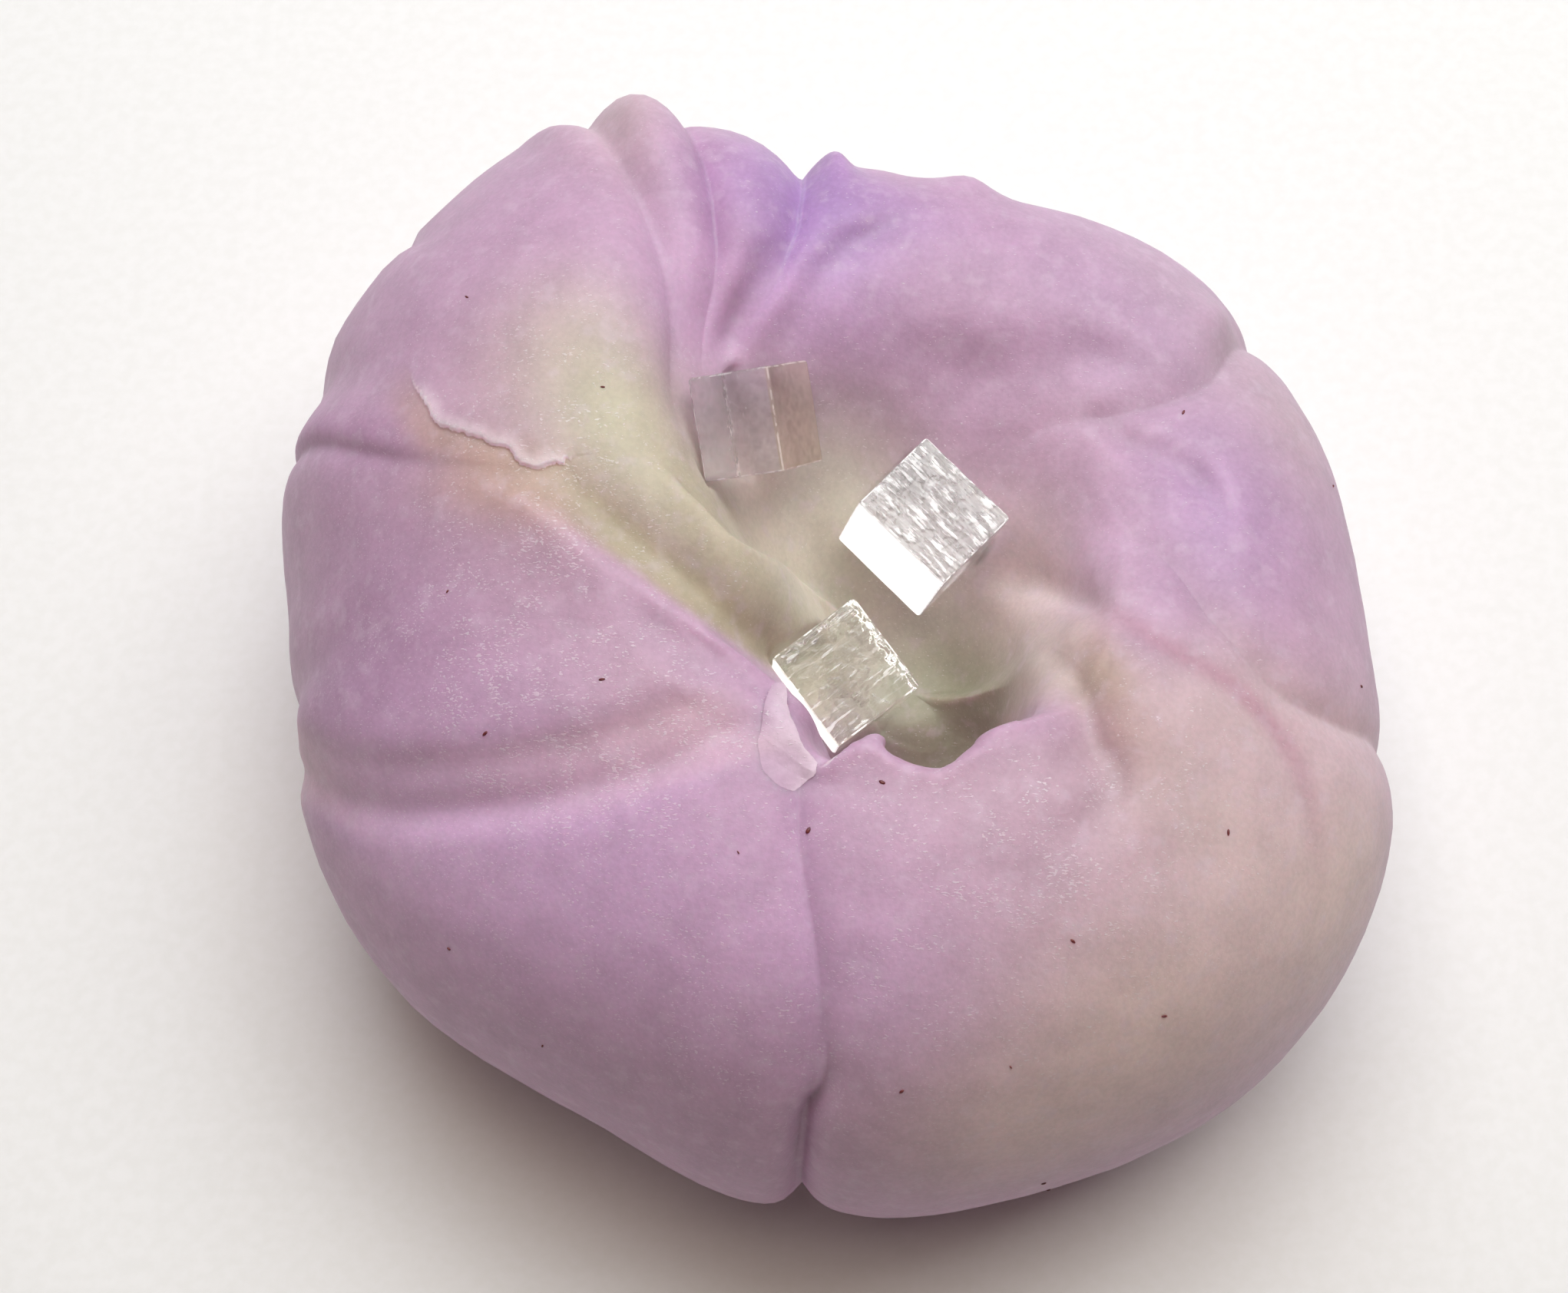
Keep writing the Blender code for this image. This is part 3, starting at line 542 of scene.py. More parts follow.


# Colours of the paste as they show on a screen, 0 to 255. Some of them are painted light and some painted
# shade, as marked where they stand.
LILAC = (202, 165, 193)
PAINTS = {
    "rose": (203, 170, 182),
    "beige": (214, 192, 187),
    "violet": (182, 145, 198),
    "mauve": (188, 138, 182),
    "brown": (200, 168, 156),
    "cream": (205, 197, 172),
    "olive": (190, 176, 150),
    "moss": (203, 203, 180),
    # Painted light, which lightens the walls of the throat and its pocket.
    "pale": (246, 228, 218),
    # Painted shade, which darkens the pit of the throat.
    "painted_shade_dusk": (160, 157, 136),
    # Painted light, which lightens the front slopes on the right.
    "painted_light_sand": (238, 214, 208),
    # Painted light, which lightens the facet beside the lower left slope.
    "painted_light_blush": (220, 184, 196),
    # Painted light, which lightens the slope of the tongue beside the front cube.
    "painted_light_ivory": (236, 230, 208),
    # Painted shade, which darkens parts of the flanks.
    "painted_shade_plum": (160, 122, 152),
    # Painted light, which makes slopes lighter and bluer.
    "painted_light_bloom": (228, 188, 225),
    "flush": (194, 142, 162),
}

# A soft patch on the skin. length and breadth are half its size, round the sweet and towards the foot.
Patch = namedtuple("Patch", "angle ring length breadth strength")
PATCHES = {
    "rose": (
        Patch(168, 1.1, 6.0, 3.0, 0.5), Patch(155, 1.05, 3.0, 3.0, 0.3), Patch(325, 0.98, 3.0, 2.0, 0.5),
        Patch(300, 1.0, 5.0, 3.0, 0.25), Patch(20, 0.8, 6.0, 4.0, 0.25), Patch(306, 0.95, 5.0, 3.0, 0.6),
        Patch(214, 1.02, 2.6, 3.5, 0.45),
    ),
    # Painted light on the front slopes on the right.
    "painted_light_sand": (
        Patch(328, 1.58, 7.0, 5.0, 0.9), Patch(303, 1.5, 7.0, 5.0, 0.9), Patch(287, 1.64, 5.0, 3.5, 0.7),
    ),
    "beige": (
        Patch(338, 1.12, 3.0, 4.0, 0.7), Patch(322, 1.2, 3.0, 3.5, 0.7), Patch(42, 1.3, 6.0, 3.5, 0.6),
        Patch(25, 1.4, 4.0, 4.0, 0.5), Patch(115, 1.4, 2.5, 4.0, 0.5), Patch(345, 0.55, 3.5, 3.0, 0.6),
    ),
    "violet": (
        Patch(97, 1.2, 2.6, 5.5, 0.9), Patch(88, 1.1, 3.0, 3.0, 0.5), Patch(108, 1.15, 2.6, 3.0, 0.5),
        # The patches at 42 and 10 degrees are painted shade on the right slopes.
        Patch(100, 0.9, 2.2, 3.0, 0.5), Patch(225, 1.35, 4.0, 3.0, 0.25), Patch(42, 1.25, 8.0, 5.0, 0.35),
        Patch(10, 1.02, 4.5, 4.0, 0.35),
    ),
    # Painted light on slopes, lighter and bluer.
    "painted_light_bloom": (
        Patch(120, 0.88, 3.0, 2.5, 0.6), Patch(102, 0.79, 2.5, 2.0, 0.5), Patch(205, 1.58, 4.0, 2.5, 0.6),
        Patch(12, 0.62, 2.5, 2.5, 0.4), Patch(212, 1.47, 6.0, 3.0, 0.7), Patch(230, 1.44, 6.0, 4.0, 0.85),
        Patch(266, 1.34, 6.0, 3.5, 0.6),
    ),
    # Painted shade on the left flank.
    "mauve": (Patch(200, 1.5, 9.0, 3.0, 0.3),),
    "brown": (
        Patch(168, 1.0, 1.5, 3.2, 0.9), Patch(169, 1.13, 1.3, 2.0, 0.5),
    ),
    # Painted shade on parts of the flanks.
    "painted_shade_plum": (
        Patch(191, 1.5, 3.2, 3.5, 0.55), Patch(306, 1.0, 4.5, 3.0, 0.25), Patch(347, 1.13, 3.5, 2.5, 0.1),
    ),
    "cream": (
        Patch(180, 0.48, 3.2, 2.6, 1.0), Patch(150, 0.82, 3.6, 3.6, 1.0), Patch(142, 0.95, 3.0, 3.0, 0.5),
        Patch(158, 0.6, 2.6, 3.6, 1.0), Patch(150, 0.36, 3.0, 2.5, 0.9),
    ),
    # Painted light on the walls of the throat and in its pocket.
    "pale": (
        Patch(135, 0.42, 3.0, 2.4, 0.3), Patch(15, 0.45, 4.5, 2.8, 0.6), Patch(340, 0.5, 3.0, 2.0, 0.3),
    ),
    # Painted light on the slope of the tongue.
    "painted_light_ivory": (Patch(178, 0.5, 2.2, 1.6, 0.2),),
    "olive": (
        Patch(168, 0.57, 2.6, 1.5, 0.4), Patch(332, 0.72, 1.4, 3.0, 0.5), Patch(156, 0.62, 2.0, 2.0, 0.35),
    ),
    "moss": (
        Patch(0, 0.0, 9.0, 6.0, 1.0), Patch(110, 0.38, 4.5, 3.5, 0.8),
    ),
    # Painted shade in the pit of the throat.
    "painted_shade_dusk": (
        Patch(292, 0.26, 3.2, 3.4, 0.95), Patch(332, 0.2, 3.0, 3.5, 0.85),
    ),
}

# A band of one paint beside a crease: offset is how far its middle lies counter-clockwise of the crease.
Band = namedtuple("Band", "paint crease offset width strength power", defaults=(2,))
BANDS = (
    # The violet and mauve bands darken the creases: painted shade in them, over the paste's own violet.
    Band("violet", "top_deep", 0.0, 1.4, 0.7),
    Band("mauve", "top_left", 0.0, 1.0, 0.4),
    Band("mauve", "upper_left", -0.4, 1.0, 0.5),
    Band("violet", "lower_left", 0.4, 0.9, 0.4),
    Band("rose", "outer_arc", 0.0, 1.0, 0.5),
    Band("flush", "middle_arc", 0.0, 0.45, 0.6),
    # The crescent's own brown, with painted shade in the gap of its fold.
    Band("brown", "inner_arc", 0.6, 1.1, 0.6),
    Band("rose", "right_upper", 0.0, 1.4, 0.4),
    Band("mauve", "front_seam", 0.0, 0.8, 0.3),
    # Painted light on the facet beside the lower left slope.
    Band("painted_light_blush", "lower_left_slope", 1.7, 1.8, 0.7, 6),
    Band("olive", "upper_left_valley", 0.3, 1.2, 0.95, 4),
)

# The paint in the hollow beside a torn edge: partly the paste's own brown there, partly painted shade
# under the raised edge.
RECESSES = {"flap": "brown"}

# Where the moist grain glitters most, with the most painted glints.
GLITTERS = (
    Patch(195, 1.1, 8.0, 6.0, 1.0), Patch(218, 1.1, 4.0, 4.0, 0.8), Patch(300, 1.1, 7.0, 5.0, 0.9),
    Patch(150, 1.0, 5.0, 5.0, 0.7), Patch(255, 1.5, 9.0, 5.0, 0.5), Patch(208, 1.22, 5.0, 2.5, 1.0),
)
LEAST_GLITTER = 0.25

SEAM_MERGE = 0.0001
PRESSED_RING = 1.1  # the jelly cubes press no skin beyond this ring

# Soft lumps that fingers leave, as (size, height).
LUMPS = ((6.0, 0.10), (2.2, 0.05), (0.9, 0.02))


def linear(colour):
    """A screen colour as the values that light is worked out with."""
    share = np.array(colour) / 255
    return (*np.where(share <= 0.04045, share / 12.92, ((share + 0.055) / 1.055) ** 2.4).tolist(), 1.0)


def unevenness(point):
    """How far hand-worked paste stands out at each point."""
    flat = point.reshape(-1, 3)
    relief = sum(
        np.array([height * noise.noise(Vector(p) / size) for p in flat]) for size, height in LUMPS
    )
    return relief.reshape(point.shape[:-1])


def band_strength(band, angle, ring, radius):
    across, live = beside(CREASES[band.crease], angle, ring, radius)
    return band.strength * live * np.exp(-(np.abs((across - band.offset) / band.width) ** band.power))


def together(strengths, like):
    """Overlapping patches as one mask from 0 to 1."""
    bare = np.ones_like(like)
    for strength in strengths:
        bare = bare * (1 - np.clip(strength, 0, 1))
    return 1 - bare


def mask_values(mesh, name):
    values = np.zeros(len(mesh.vertices), np.float32)
    mesh.attributes[name].data.foreach_get("value", values)
    return values


def set_mask(mesh, name, values):
    mask = mesh.attributes.new(name, "FLOAT", "POINT")
    mask.data.foreach_set("value", np.asarray(values, np.float32).ravel())


def tint(mesh):
    """Stores the masks of the paints, painted light and shade among them, and of the glitter, from the angle
    and the ring of each point.
    """
    angle, ring = mask_values(mesh, "angle"), mask_values(mesh, "ring")
    radius = plan_radius(angle, ring)

    def strengths(patches):
        return [patch.strength * spot_strength(patch, angle, ring, radius) for patch in patches]

    for paint in PAINTS:
        bands = [band_strength(band, angle, ring, radius) for band in BANDS if band.paint == paint]
        hollows = [recess(TEARS[tear], angle, ring) for tear, shown in RECESSES.items() if shown == paint]
        set_mask(mesh, paint, together([*strengths(PATCHES.get(paint, ())), *bands, *hollows], angle))
    glitter = together(strengths(GLITTERS), angle)
    set_mask(mesh, "glitter", LEAST_GLITTER + (1 - LEAST_GLITTER) * glitter)


def finished(name, shape, material, slot, *replaced):
    """Makes the drawn shape a piece of the sweet, in its material."""
    mesh = bpy.data.meshes.new(name)
    shape.to_mesh(mesh)
    shape.free()
    mesh.shade_smooth()
    mesh.materials.append(material)
    piece = bpy.data.objects.new(name, mesh)
    bpy.context.scene.collection.objects.link(piece)
    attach(piece, "root")
    if replaced:
        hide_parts(*replaced)
    return piece


def net_place(net_mesh):
    """How far across and along a flat grid each of its points lies, from 0 to 1."""
    across = np.array([(vert.co.x + 1) / 2 for vert in net_mesh.verts])
    along = np.array([(vert.co.y + 1) / 2 for vert in net_mesh.verts])
    return across, along


def points_in(geometry):
    return [part for part in geometry if isinstance(part, bmesh.types.BMVert)]


def hold_in_box(shape):
    """Keeps a drawn shape within the box of the CAD solids."""
    low, high = (Vector(corner) for corner in cad_box)
    for vert in shape.verts:
        vert.co = [min(max(a, b), c) for a, b, c in zip(vert.co, low, high)]


def hand_worked(angle, ring):
    """The skin with the soft lumps that fingers leave."""
    places = skin_point(angle, ring)
    lift = unevenness(places) * above_foot(places[..., 2])
    return places + outward(angle, ring) * lift[..., None]


def lay_net(skin, angles, rings, dents):
    """Rolls a flat grid up into a sphere's net and lays it over the skin, with the dents of the cubes."""
    across, along = net_place(skin)
    angle, ring = net(COLUMNS, sum(ROWS))
    plain = hand_worked(angle, ring)
    pressed = ring[0] <= PRESSED_RING
    places = plain.copy()
    places[:, pressed] = dented(places[:, pressed], outward(angle, ring)[:, pressed])
    column = np.round(across * COLUMNS).astype(int) % COLUMNS
    row = np.round(along * sum(ROWS)).astype(int)
    for vert, c, r in zip(skin.verts, column, row):
        vert.co = placed(places[c, r])
        vert[angles], vert[rings], vert[dents] = angle[c, r], ring[c, r], places[c, r] - plain[c, r]
    ends = [vert for vert, c, r in zip(skin.verts, across, row) if c in (0, 1) or r in (0, sum(ROWS))]
    bmesh.ops.remove_doubles(skin, verts=ends, dist=SEAM_MERGE * MM)


def refine_tears(skin, angles, rings, dents):
    """Makes the net finer at the torn edges, and lays its new points on the skin."""
    at = np.array([(vert[angles], vert[rings]) for vert in skin.verts]).T
    close = np.any([np.abs(from_tear(tear, *at)[0]) < TEAR_BAND for tear in TEARS.values()], axis=0)
    torn = {vert for vert, chosen in zip(skin.verts, close) if chosen}
    edges = {edge for vert in torn for face in vert.link_faces for edge in face.edges}
    made = bmesh.ops.subdivide_edges(skin, edges=list(edges), cuts=TEAR_CUTS, use_grid_fill=True)
    finer = points_in(made["geom"])
    at = np.array([(vert[angles], vert[rings]) for vert in finer]).T
    for vert, place in zip(finer, hand_worked(*at)):
        vert.co = placed(place + np.array(vert[dents]))


def make_skin(material):
    """The skin of the whole sweet."""
    skin = bmesh.new()
    bmesh.ops.create_grid(skin, x_segments=COLUMNS, y_segments=sum(ROWS), size=1)
    angles, rings = (skin.verts.layers.float.new(name) for name in ("angle", "ring"))
    dents = skin.verts.layers.float_vector.new("dent")
    lay_net(skin, angles, rings, dents)
    refine_tears(skin, angles, rings, dents)
    hold_in_box(skin)
    skin.verts.layers.float_vector.remove(dents)
    bmesh.ops.recalc_face_normals(skin, faces=skin.faces)
    mesh = finished("paste_skin", skin, material, "bean_paste", "dough_body").data
    tint(mesh)
    at = mask_values(mesh, "angle"), mask_values(mesh, "ring")
    set_mask(mesh, "torn", together([torn_rim(tear, *at) for tear in TEARS.values()], at[0]))


# The torn flake beside the front cube. root and edge are its two long sides as (ring, angle, lift),
# where lift is how far its upper face stands over the skin there.
FLAKE_ROOT = ((0.74, 230.6, 0.45), (0.83, 235.5, 0.13), (0.9, 238.6, 0.05), (0.97, 240.5, 0.02),
    (1.02, 244, 0.0), (1.04, 249.5, 0.0))
FLAKE_EDGE = ((0.71, 231.6, 0.55), (0.75, 237.5, 0.33), (0.82, 246.5, 0.14), (0.9, 253.8, 0.08),
    (0.97, 256.4, 0.05), (1.03, 252.5, 0.0))
FLAKE_LENGTHS, FLAKE_BREADTHS = 120, 24
FLAKE_THICK, FLAKE_THIN = 0.3, 0.2
FLAKE_LENGTH = 9.0
FLAKE_RAG = 0.12
# How far the flake takes the paler colour of the torn rims, with its painted highlight.
FLAKE_PALENESS = (0.3, 0.55)  # at its root and at its edge
RIM_ANGLE = 50.0  # a fold of the slab sharper than this is its rim


def flake_side(side, along):
    """The ring, the angle and the lift of a long side of the flake at each share of its length."""
    return np.stack([evenly(along, [point[k] for point in side]) for k in range(3)])


def make_flake(material):
    """A thin slab with a ragged edge that lies on the skin."""
    slab = bmesh.new()
    bmesh.ops.create_grid(slab, x_segments=FLAKE_LENGTHS, y_segments=FLAKE_BREADTHS, size=1)
    along, out = net_place(slab)
    rag = np.array([ragged(FLAKE_LENGTH * a, FLAKE_SEED) for a in along])
    reach = out * (1 + FLAKE_RAG * rag * out)
    ring, angle, lift = flake_side(FLAKE_ROOT, along) * (1 - reach) + flake_side(FLAKE_EDGE, along) * reach
    upper = hand_worked(angle, ring)
    upper[:, 2] += lift
    stored = [slab.verts.layers.float.new(name) for name in ("angle", "ring", "torn")]
    for vert, place, *values in zip(slab.verts, upper, angle, ring, np.interp(out, (0, 1), FLAKE_PALENESS)):
        vert.co = placed(place)
        for layer, value in zip(stored, values):
            vert[layer] = value
    hold_in_box(slab)
    depth = FLAKE_THIN + (FLAKE_THICK - FLAKE_THIN) * (1 - out)
    made = bmesh.ops.extrude_face_region(slab, geom=slab.faces[:], use_keep_orig=True)
    for vert, drop in zip(points_in(made["geom"]), depth):
        vert.co.z -= drop * MM
    bmesh.ops.recalc_face_normals(slab, faces=slab.faces)
    mesh = finished("torn_flake", slab, material, "bean_paste").data
    mesh.set_sharp_from_angle(angle=math.radians(RIM_ANGLE))
    tint(mesh)


# Specks of bean skin as (angle, ring), where they show, and how many more are strewn over the rest.
SPECKS = ((144.5, 1.26), (147, 0.88), (184, 1.26), (206.5, 1.07), (205, 1.28), (221, 1.65), (247, 1.18),
    (257.5, 1.09), (274.5, 1.54), (297, 1.29), (286.5, 1.51), (30, 1.05), (322, 1.26), (272, 0.94))
STREWN_SPECKS, STREWN_RINGS = 16, (1.5, 2.6)
SPECK_LENGTHS = (0.07, 0.15)  # half the size of a speck
SPECK_BREADTHS = (0.3, 0.6)  # as a share of the length
SPECK_THICKNESS = 0.05
SPECK_LIFT = 0.01
SPECK_SEED = 5


def make_specks(material):
    """Small flat scales of bean skin, half sunk in the paste."""
    draw = np.random.default_rng(SPECK_SEED)
    strewn = zip(draw.uniform(0, 360, STREWN_SPECKS), draw.uniform(*STREWN_RINGS, STREWN_SPECKS))
    specks = bmesh.new()
    for angle, ring in (*SPECKS, *strewn):
        angle, ring = np.array([angle]), np.array([ring])
        place = skin_point(angle, ring)
        normal = outward(angle, ring)
        place = place + normal * (unevenness(place) + SPECK_LIFT)[:, None]
        length = draw.uniform(*SPECK_LENGTHS)
        turn = Matrix.Rotation(draw.uniform(0, math.pi), 4, "Z")
        lie = Vector(normal[0]).to_track_quat("Z", "Y").to_matrix().to_4x4()
        shape = Matrix.Diagonal((length, length * draw.uniform(*SPECK_BREADTHS), SPECK_THICKNESS, 1))
        matrix = Matrix.Translation(placed(place[0])) @ lie @ turn @ shape
        bmesh.ops.create_icosphere(specks, subdivisions=2, radius=MM, matrix=matrix)
    finished("bean_skin_specks", specks, material, "bean_paste")


JELLY_CUTS = 28
JELLY_WAVES = ((2.4, 0.02), (0.9, 0.004))  # (size, height) of the unevenness of the cut faces
KNIFE_RIDGES = (1.8, 0.4, 0.012)  # (length, breadth, height) of the ridges on the top of each cube
SIDE_START = 1.6  # the tint of the right side starts this far from the middle
# way is the cube's own axis along those ridges, 0 or 1. haze is how rough its faces are, marks is how much
# of the top is broken by white marks, and clear is how much light goes straight through. side is the tint
# of the side that it turns to the right, painted to stand in for the paste that shows through it. spark is
# how brightly its marks and edges shine with painted glints, light that they give off themselves, and
# glow how brightly the side turned to the left gives off a painted glow, as if lit from within.
Jelly = namedtuple("Jelly", "way ior haze marks clear tint side spark glow")
JELLIES = {
    "jelly_cube_back": Jelly(1, 1.2, 0.1, 0.0, 0.85, (252, 246, 248), (252, 238, 214), 0.2, 0.0),
    "jelly_cube_right": Jelly(1, 1.42, 0.04, 0.8, 0.72, (246, 243, 243), (250, 248, 248), 0.6, 0.8),
    "jelly_cube_front": Jelly(0, 1.36, 0.05, 0.45, 0.88, (252, 253, 244), (252, 253, 244), 0.85, 0.9),
}


def facing(part):
    """How far a face looks along an axis, from 0 to 1, given that part of its normal."""
    return float(smoothstep(part, 0.5, 0.9))


def make_jelly(name, cube, material):
    """A cube cut from a slab of jelly, with soft edges, slightly wavy faces and the ridges of the knife."""
    pose = np.array(cube_pose(cube))
    block = bmesh.new()
    bmesh.ops.create_cube(block, size=1, matrix=Matrix.Diagonal((*cube.sides, 1)))
    rounding = {"affect": "EDGES", "segments": JELLY_ROUNDING, "profile": 0.5, "material": -1}
    bmesh.ops.bevel(block, geom=block.edges, offset=JELLY_BEVEL, **rounding)
    bmesh.ops.subdivide_edges(block, edges=block.edges, cuts=JELLY_CUTS, use_grid_fill=True)
    block.normal_update()
    seed = Vector(cube.centre)
    length, breadth, height = KNIFE_RIDGES
    way = JELLIES[name].way
    ridge = Vector([1 / (length if axis == way else breadth) for axis in range(3)])
    moved, own, masks = [], [], {"knife": [], "left": [], "edge": []}
    for vert in block.verts:
        own.append([vert.co[way], vert.co[1 - way], vert.co.z])
        top = facing(vert.normal.z)
        masks["knife"].append(top)
        # The side turned to the left, which gives off a painted glow.
        masks["left"].append(facing(-vert.normal.x))
        # The rounded edges, which shine with painted glints.
        masks["edge"].append(1 - float(smoothstep(max(abs(part) for part in vert.normal), 0.8, 0.97)))
        wave = sum(rise * noise.noise(vert.co / size + seed) for size, rise in JELLY_WAVES)
        cut = top * height * noise.noise(Vector(a * b for a, b in zip(vert.co, ridge)) + seed)
        local = vert.co * (1 - 2 * (JELLY_SINK + wave) / min(cube.sides)) + vert.normal * cut
        moved.append(placed(pose @ np.array(local) + np.array(cube.centre)))
    for vert, place in zip(block.verts, moved):
        vert.co = place
    bmesh.ops.recalc_face_normals(block, faces=block.faces)
    mesh = finished(f"clear_{name}", block, material, "clear_jelly", name).data
    mesh.attributes.new("own_place", "FLOAT_VECTOR", "POINT")
    mesh.attributes["own_place"].data.foreach_set("vector", np.asarray(own, np.float32).ravel())
    for mask, values in masks.items():
        set_mask(mesh, mask, values)


def feed(tree, node, inputs):
    """Gives a node its inputs, each a value or another node's output."""
    for socket, value in inputs.items():
        if isinstance(value, bpy.types.NodeSocket):
            tree.links.new(value, node.inputs[socket])
        else:
            node.inputs[socket].default_value = value


def add(tree, kind, inputs=None, **settings):
    """A new node with its settings and its inputs."""
    node = tree.nodes.new(kind)
    for name, value in settings.items():
        setattr(node, name, value)
    feed(tree, node, inputs or {})
    return node


def calculate(tree, operation, *values):
    return add(tree, "ShaderNodeMath", dict(enumerate(values)), operation=operation).outputs[0]


def times(tree, a, b):
    return calculate(tree, "MULTIPLY", a, b)


def blend(tree, share, low, high, kind="MIX"):
    """Mixes two colours."""
    inputs = {"Factor": share, 6: low, 7: high}
    return add(tree, "ShaderNodeMix", inputs, data_type="RGBA", blend_type=kind).outputs[2]


def remap(tree, value, low, high, bottom=0.0, top=1.0):
    inputs = {"Value": value, 1: low, 2: high, 3: bottom, 4: top}
    return add(tree, "ShaderNodeMapRange", inputs, interpolation_type="SMOOTHSTEP").outputs[0]


def scaled(tree, vector, scale):
    return add(tree, "ShaderNodeVectorMath", {0: vector, 1: scale}, operation="MULTIPLY").outputs[0]


def in_mm(tree, stretch=(1.0, 1.0, 1.0)):
    """The place on a piece in millimetres, for a texture that is stretched along each axis."""
    place = add(tree, "ShaderNodeTexCoord").outputs["Object"]
    return scaled(tree, place, [1 / (MM * share) for share in stretch])


def texture(tree, vector, scale, detail=2.0):
    """Soft noise from 0 to 1."""
    return add(tree, "ShaderNodeTexNoise", {"Vector": vector, "Scale": scale, "Detail": detail}).outputs[0]


def mask_of(tree, name):
    """The value of the mask that is stored on the mesh under this name."""
    return add(tree, "ShaderNodeAttribute", attribute_name=name).outputs["Fac"]


def bumped(tree, height, depth, strength):
    """The normal of a surface that the height, from 0 to 1, roughens by depth in millimetres."""
    inputs = {"Height": height, "Distance": depth * MM, "Strength": strength}
    return add(tree, "ShaderNodeBump", inputs).outputs[0]


BLACK, WHITE = (0.0, 0.0, 0.0, 1.0), (1.0, 1.0, 1.0, 1.0)


def new_material(name):
    """A material with a Principled shader, and its node tree."""
    material = bpy.data.materials.new(name)
    material.use_nodes = True
    return material, material.node_tree, material.node_tree.nodes["Principled BSDF"]


# The textures of bean paste, each as how often it repeats in a millimetre.
MOTTLE, CLOUD, CLUSTER, GRAIN = 0.55, 1.3, 0.8, 4.5
SMALL_GLINT, LARGE_GLINT = 13.0, 5.0
SMALL_RARITY, LARGE_RARITY = 0.71, 0.84  # the higher, the fewer of those glints show
GLITTER_GAIN = 0.14  # how far glitter lowers the rarity
GLINT_EDGE = 0.09
GLINT_STRETCH = (2.2, 1.0, 1.0)
CLOUD_COLOUR, CLOUD_SHARE = (230, 210, 226), 0.22
# Painted glints: the glinting grains are blended towards this near white.
PAINTED_GLINT_COLOUR, PAINTED_GLINT_SHARE = (255, 248, 252), 0.38
DRY, WET = 0.5, 0.25  # the roughness of the paste, and of its glints
GRAIN_DEPTH = 0.04
# The paler colour of torn edges, brightened by a painted highlight along them.
TORN_AND_HIGHLIGHT_COLOUR = (255, 236, 244)
SKIN_GLOW, FLAKE_GLOW = 0.6, 0.0  # the share of the light that goes into the paste
GLOW_REACH = (1.2, 0.66, 0.9)  # how far red, green and blue light goes in it


def glints(tree, place, scale, glitter, rarity):
    """Small moist grains that catch the light, as a mask for their gloss and their painted glints. The
    higher the glitter, the more of them show.
    """
    grains = texture(tree, place, scale, detail=1.0)
    start = calculate(tree, "SUBTRACT", rarity, times(tree, glitter, GLITTER_GAIN))
    return remap(tree, calculate(tree, "SUBTRACT", grains, start), 0.0, GLINT_EDGE)


def paste_grain():
    """The grain of bean paste: pale mottling, moist grains with painted glints and a wet gloss, and the
    fine bumps of its surface.
    """
    group = bpy.data.node_groups.new("paste_grain", "ShaderNodeTree")
    for way, names in (("INPUT", ("Colour", "Glitter")), ("OUTPUT", ("Colour", "Roughness", "Height"))):
        for name in names:
            kind = "NodeSocketColor" if name == "Colour" else "NodeSocketFloat"
            group.interface.new_socket(name, in_out=way, socket_type=kind)
    given = add(group, "NodeGroupInput").outputs
    even = in_mm(group)
    grain = texture(group, even, GRAIN)
    cluster = remap(group, texture(group, even, CLUSTER), 0.36, 0.64, 0.2, 1.2)
    glitter = times(group, given["Glitter"], cluster)
    small = glints(group, in_mm(group, GLINT_STRETCH), SMALL_GLINT, glitter, SMALL_RARITY)
    large = times(group, glints(group, even, LARGE_GLINT, glitter, LARGE_RARITY), 0.8)
    spark = calculate(group, "MAXIMUM", small, large)
    mottle = remap(group, texture(group, even, MOTTLE, detail=4.0), 0.3, 0.7, 0.94, 1.04)
    shade = calculate(group, "ADD", mottle, remap(group, grain, 0.3, 0.7, -0.035, 0.035))
    colour = scaled(group, given["Colour"], shade)
    cloud = remap(group, texture(group, even, CLOUD, detail=4.0), 0.5, 0.72, 0.0, CLOUD_SHARE)
    colour = blend(group, cloud, colour, linear(CLOUD_COLOUR))
    # Painted glints on the moist grains.
    colour = blend(group, times(group, spark, PAINTED_GLINT_SHARE), colour, linear(PAINTED_GLINT_COLOUR))
    wet = remap(group, spark, 0.0, 1.0, DRY, WET)
    height = calculate(group, "MULTIPLY_ADD", spark, 0.4, times(group, grain, 0.6))
    add(group, "NodeGroupOutput", {"Colour": colour, "Roughness": wet, "Height": height})
    return group


def paste_material(grain, name, glow):
    """Tinted bean paste, with the share of light that goes a little way into it. Some of its tints are
    painted light and shade, its torn edges are paler with a painted highlight, and its grains have painted
    glints.
    """
    material, tree, shader = new_material(name)
    colour = linear(LILAC)
    for paint, shown in PAINTS.items():
        colour = blend(tree, mask_of(tree, paint), colour, linear(shown))
    # Torn edges are paler: their own colour, with a painted highlight along them.
    colour = blend(tree, remap(tree, mask_of(tree, "torn"), 0.2, 0.8, 0.0, 0.85), colour, linear(TORN_AND_HIGHLIGHT_COLOUR))
    given = {"Colour": colour, "Glitter": mask_of(tree, "glitter")}
    grained = add(tree, "ShaderNodeGroup", given, node_tree=grain).outputs
    looks = {
        "Base Color": grained["Colour"],
        "Roughness": grained["Roughness"],
        "Normal": bumped(tree, grained["Height"], GRAIN_DEPTH, 0.7),
        "Subsurface Weight": glow,
        "Subsurface Radius": GLOW_REACH,
        "Subsurface Scale": MM,
        "Specular IOR Level": 0.4,
    }
    feed(tree, shader, looks)
    return material


BEAN_SKIN_RED, BEAN_SKIN_BROWN = (92, 30, 42), (128, 62, 58)


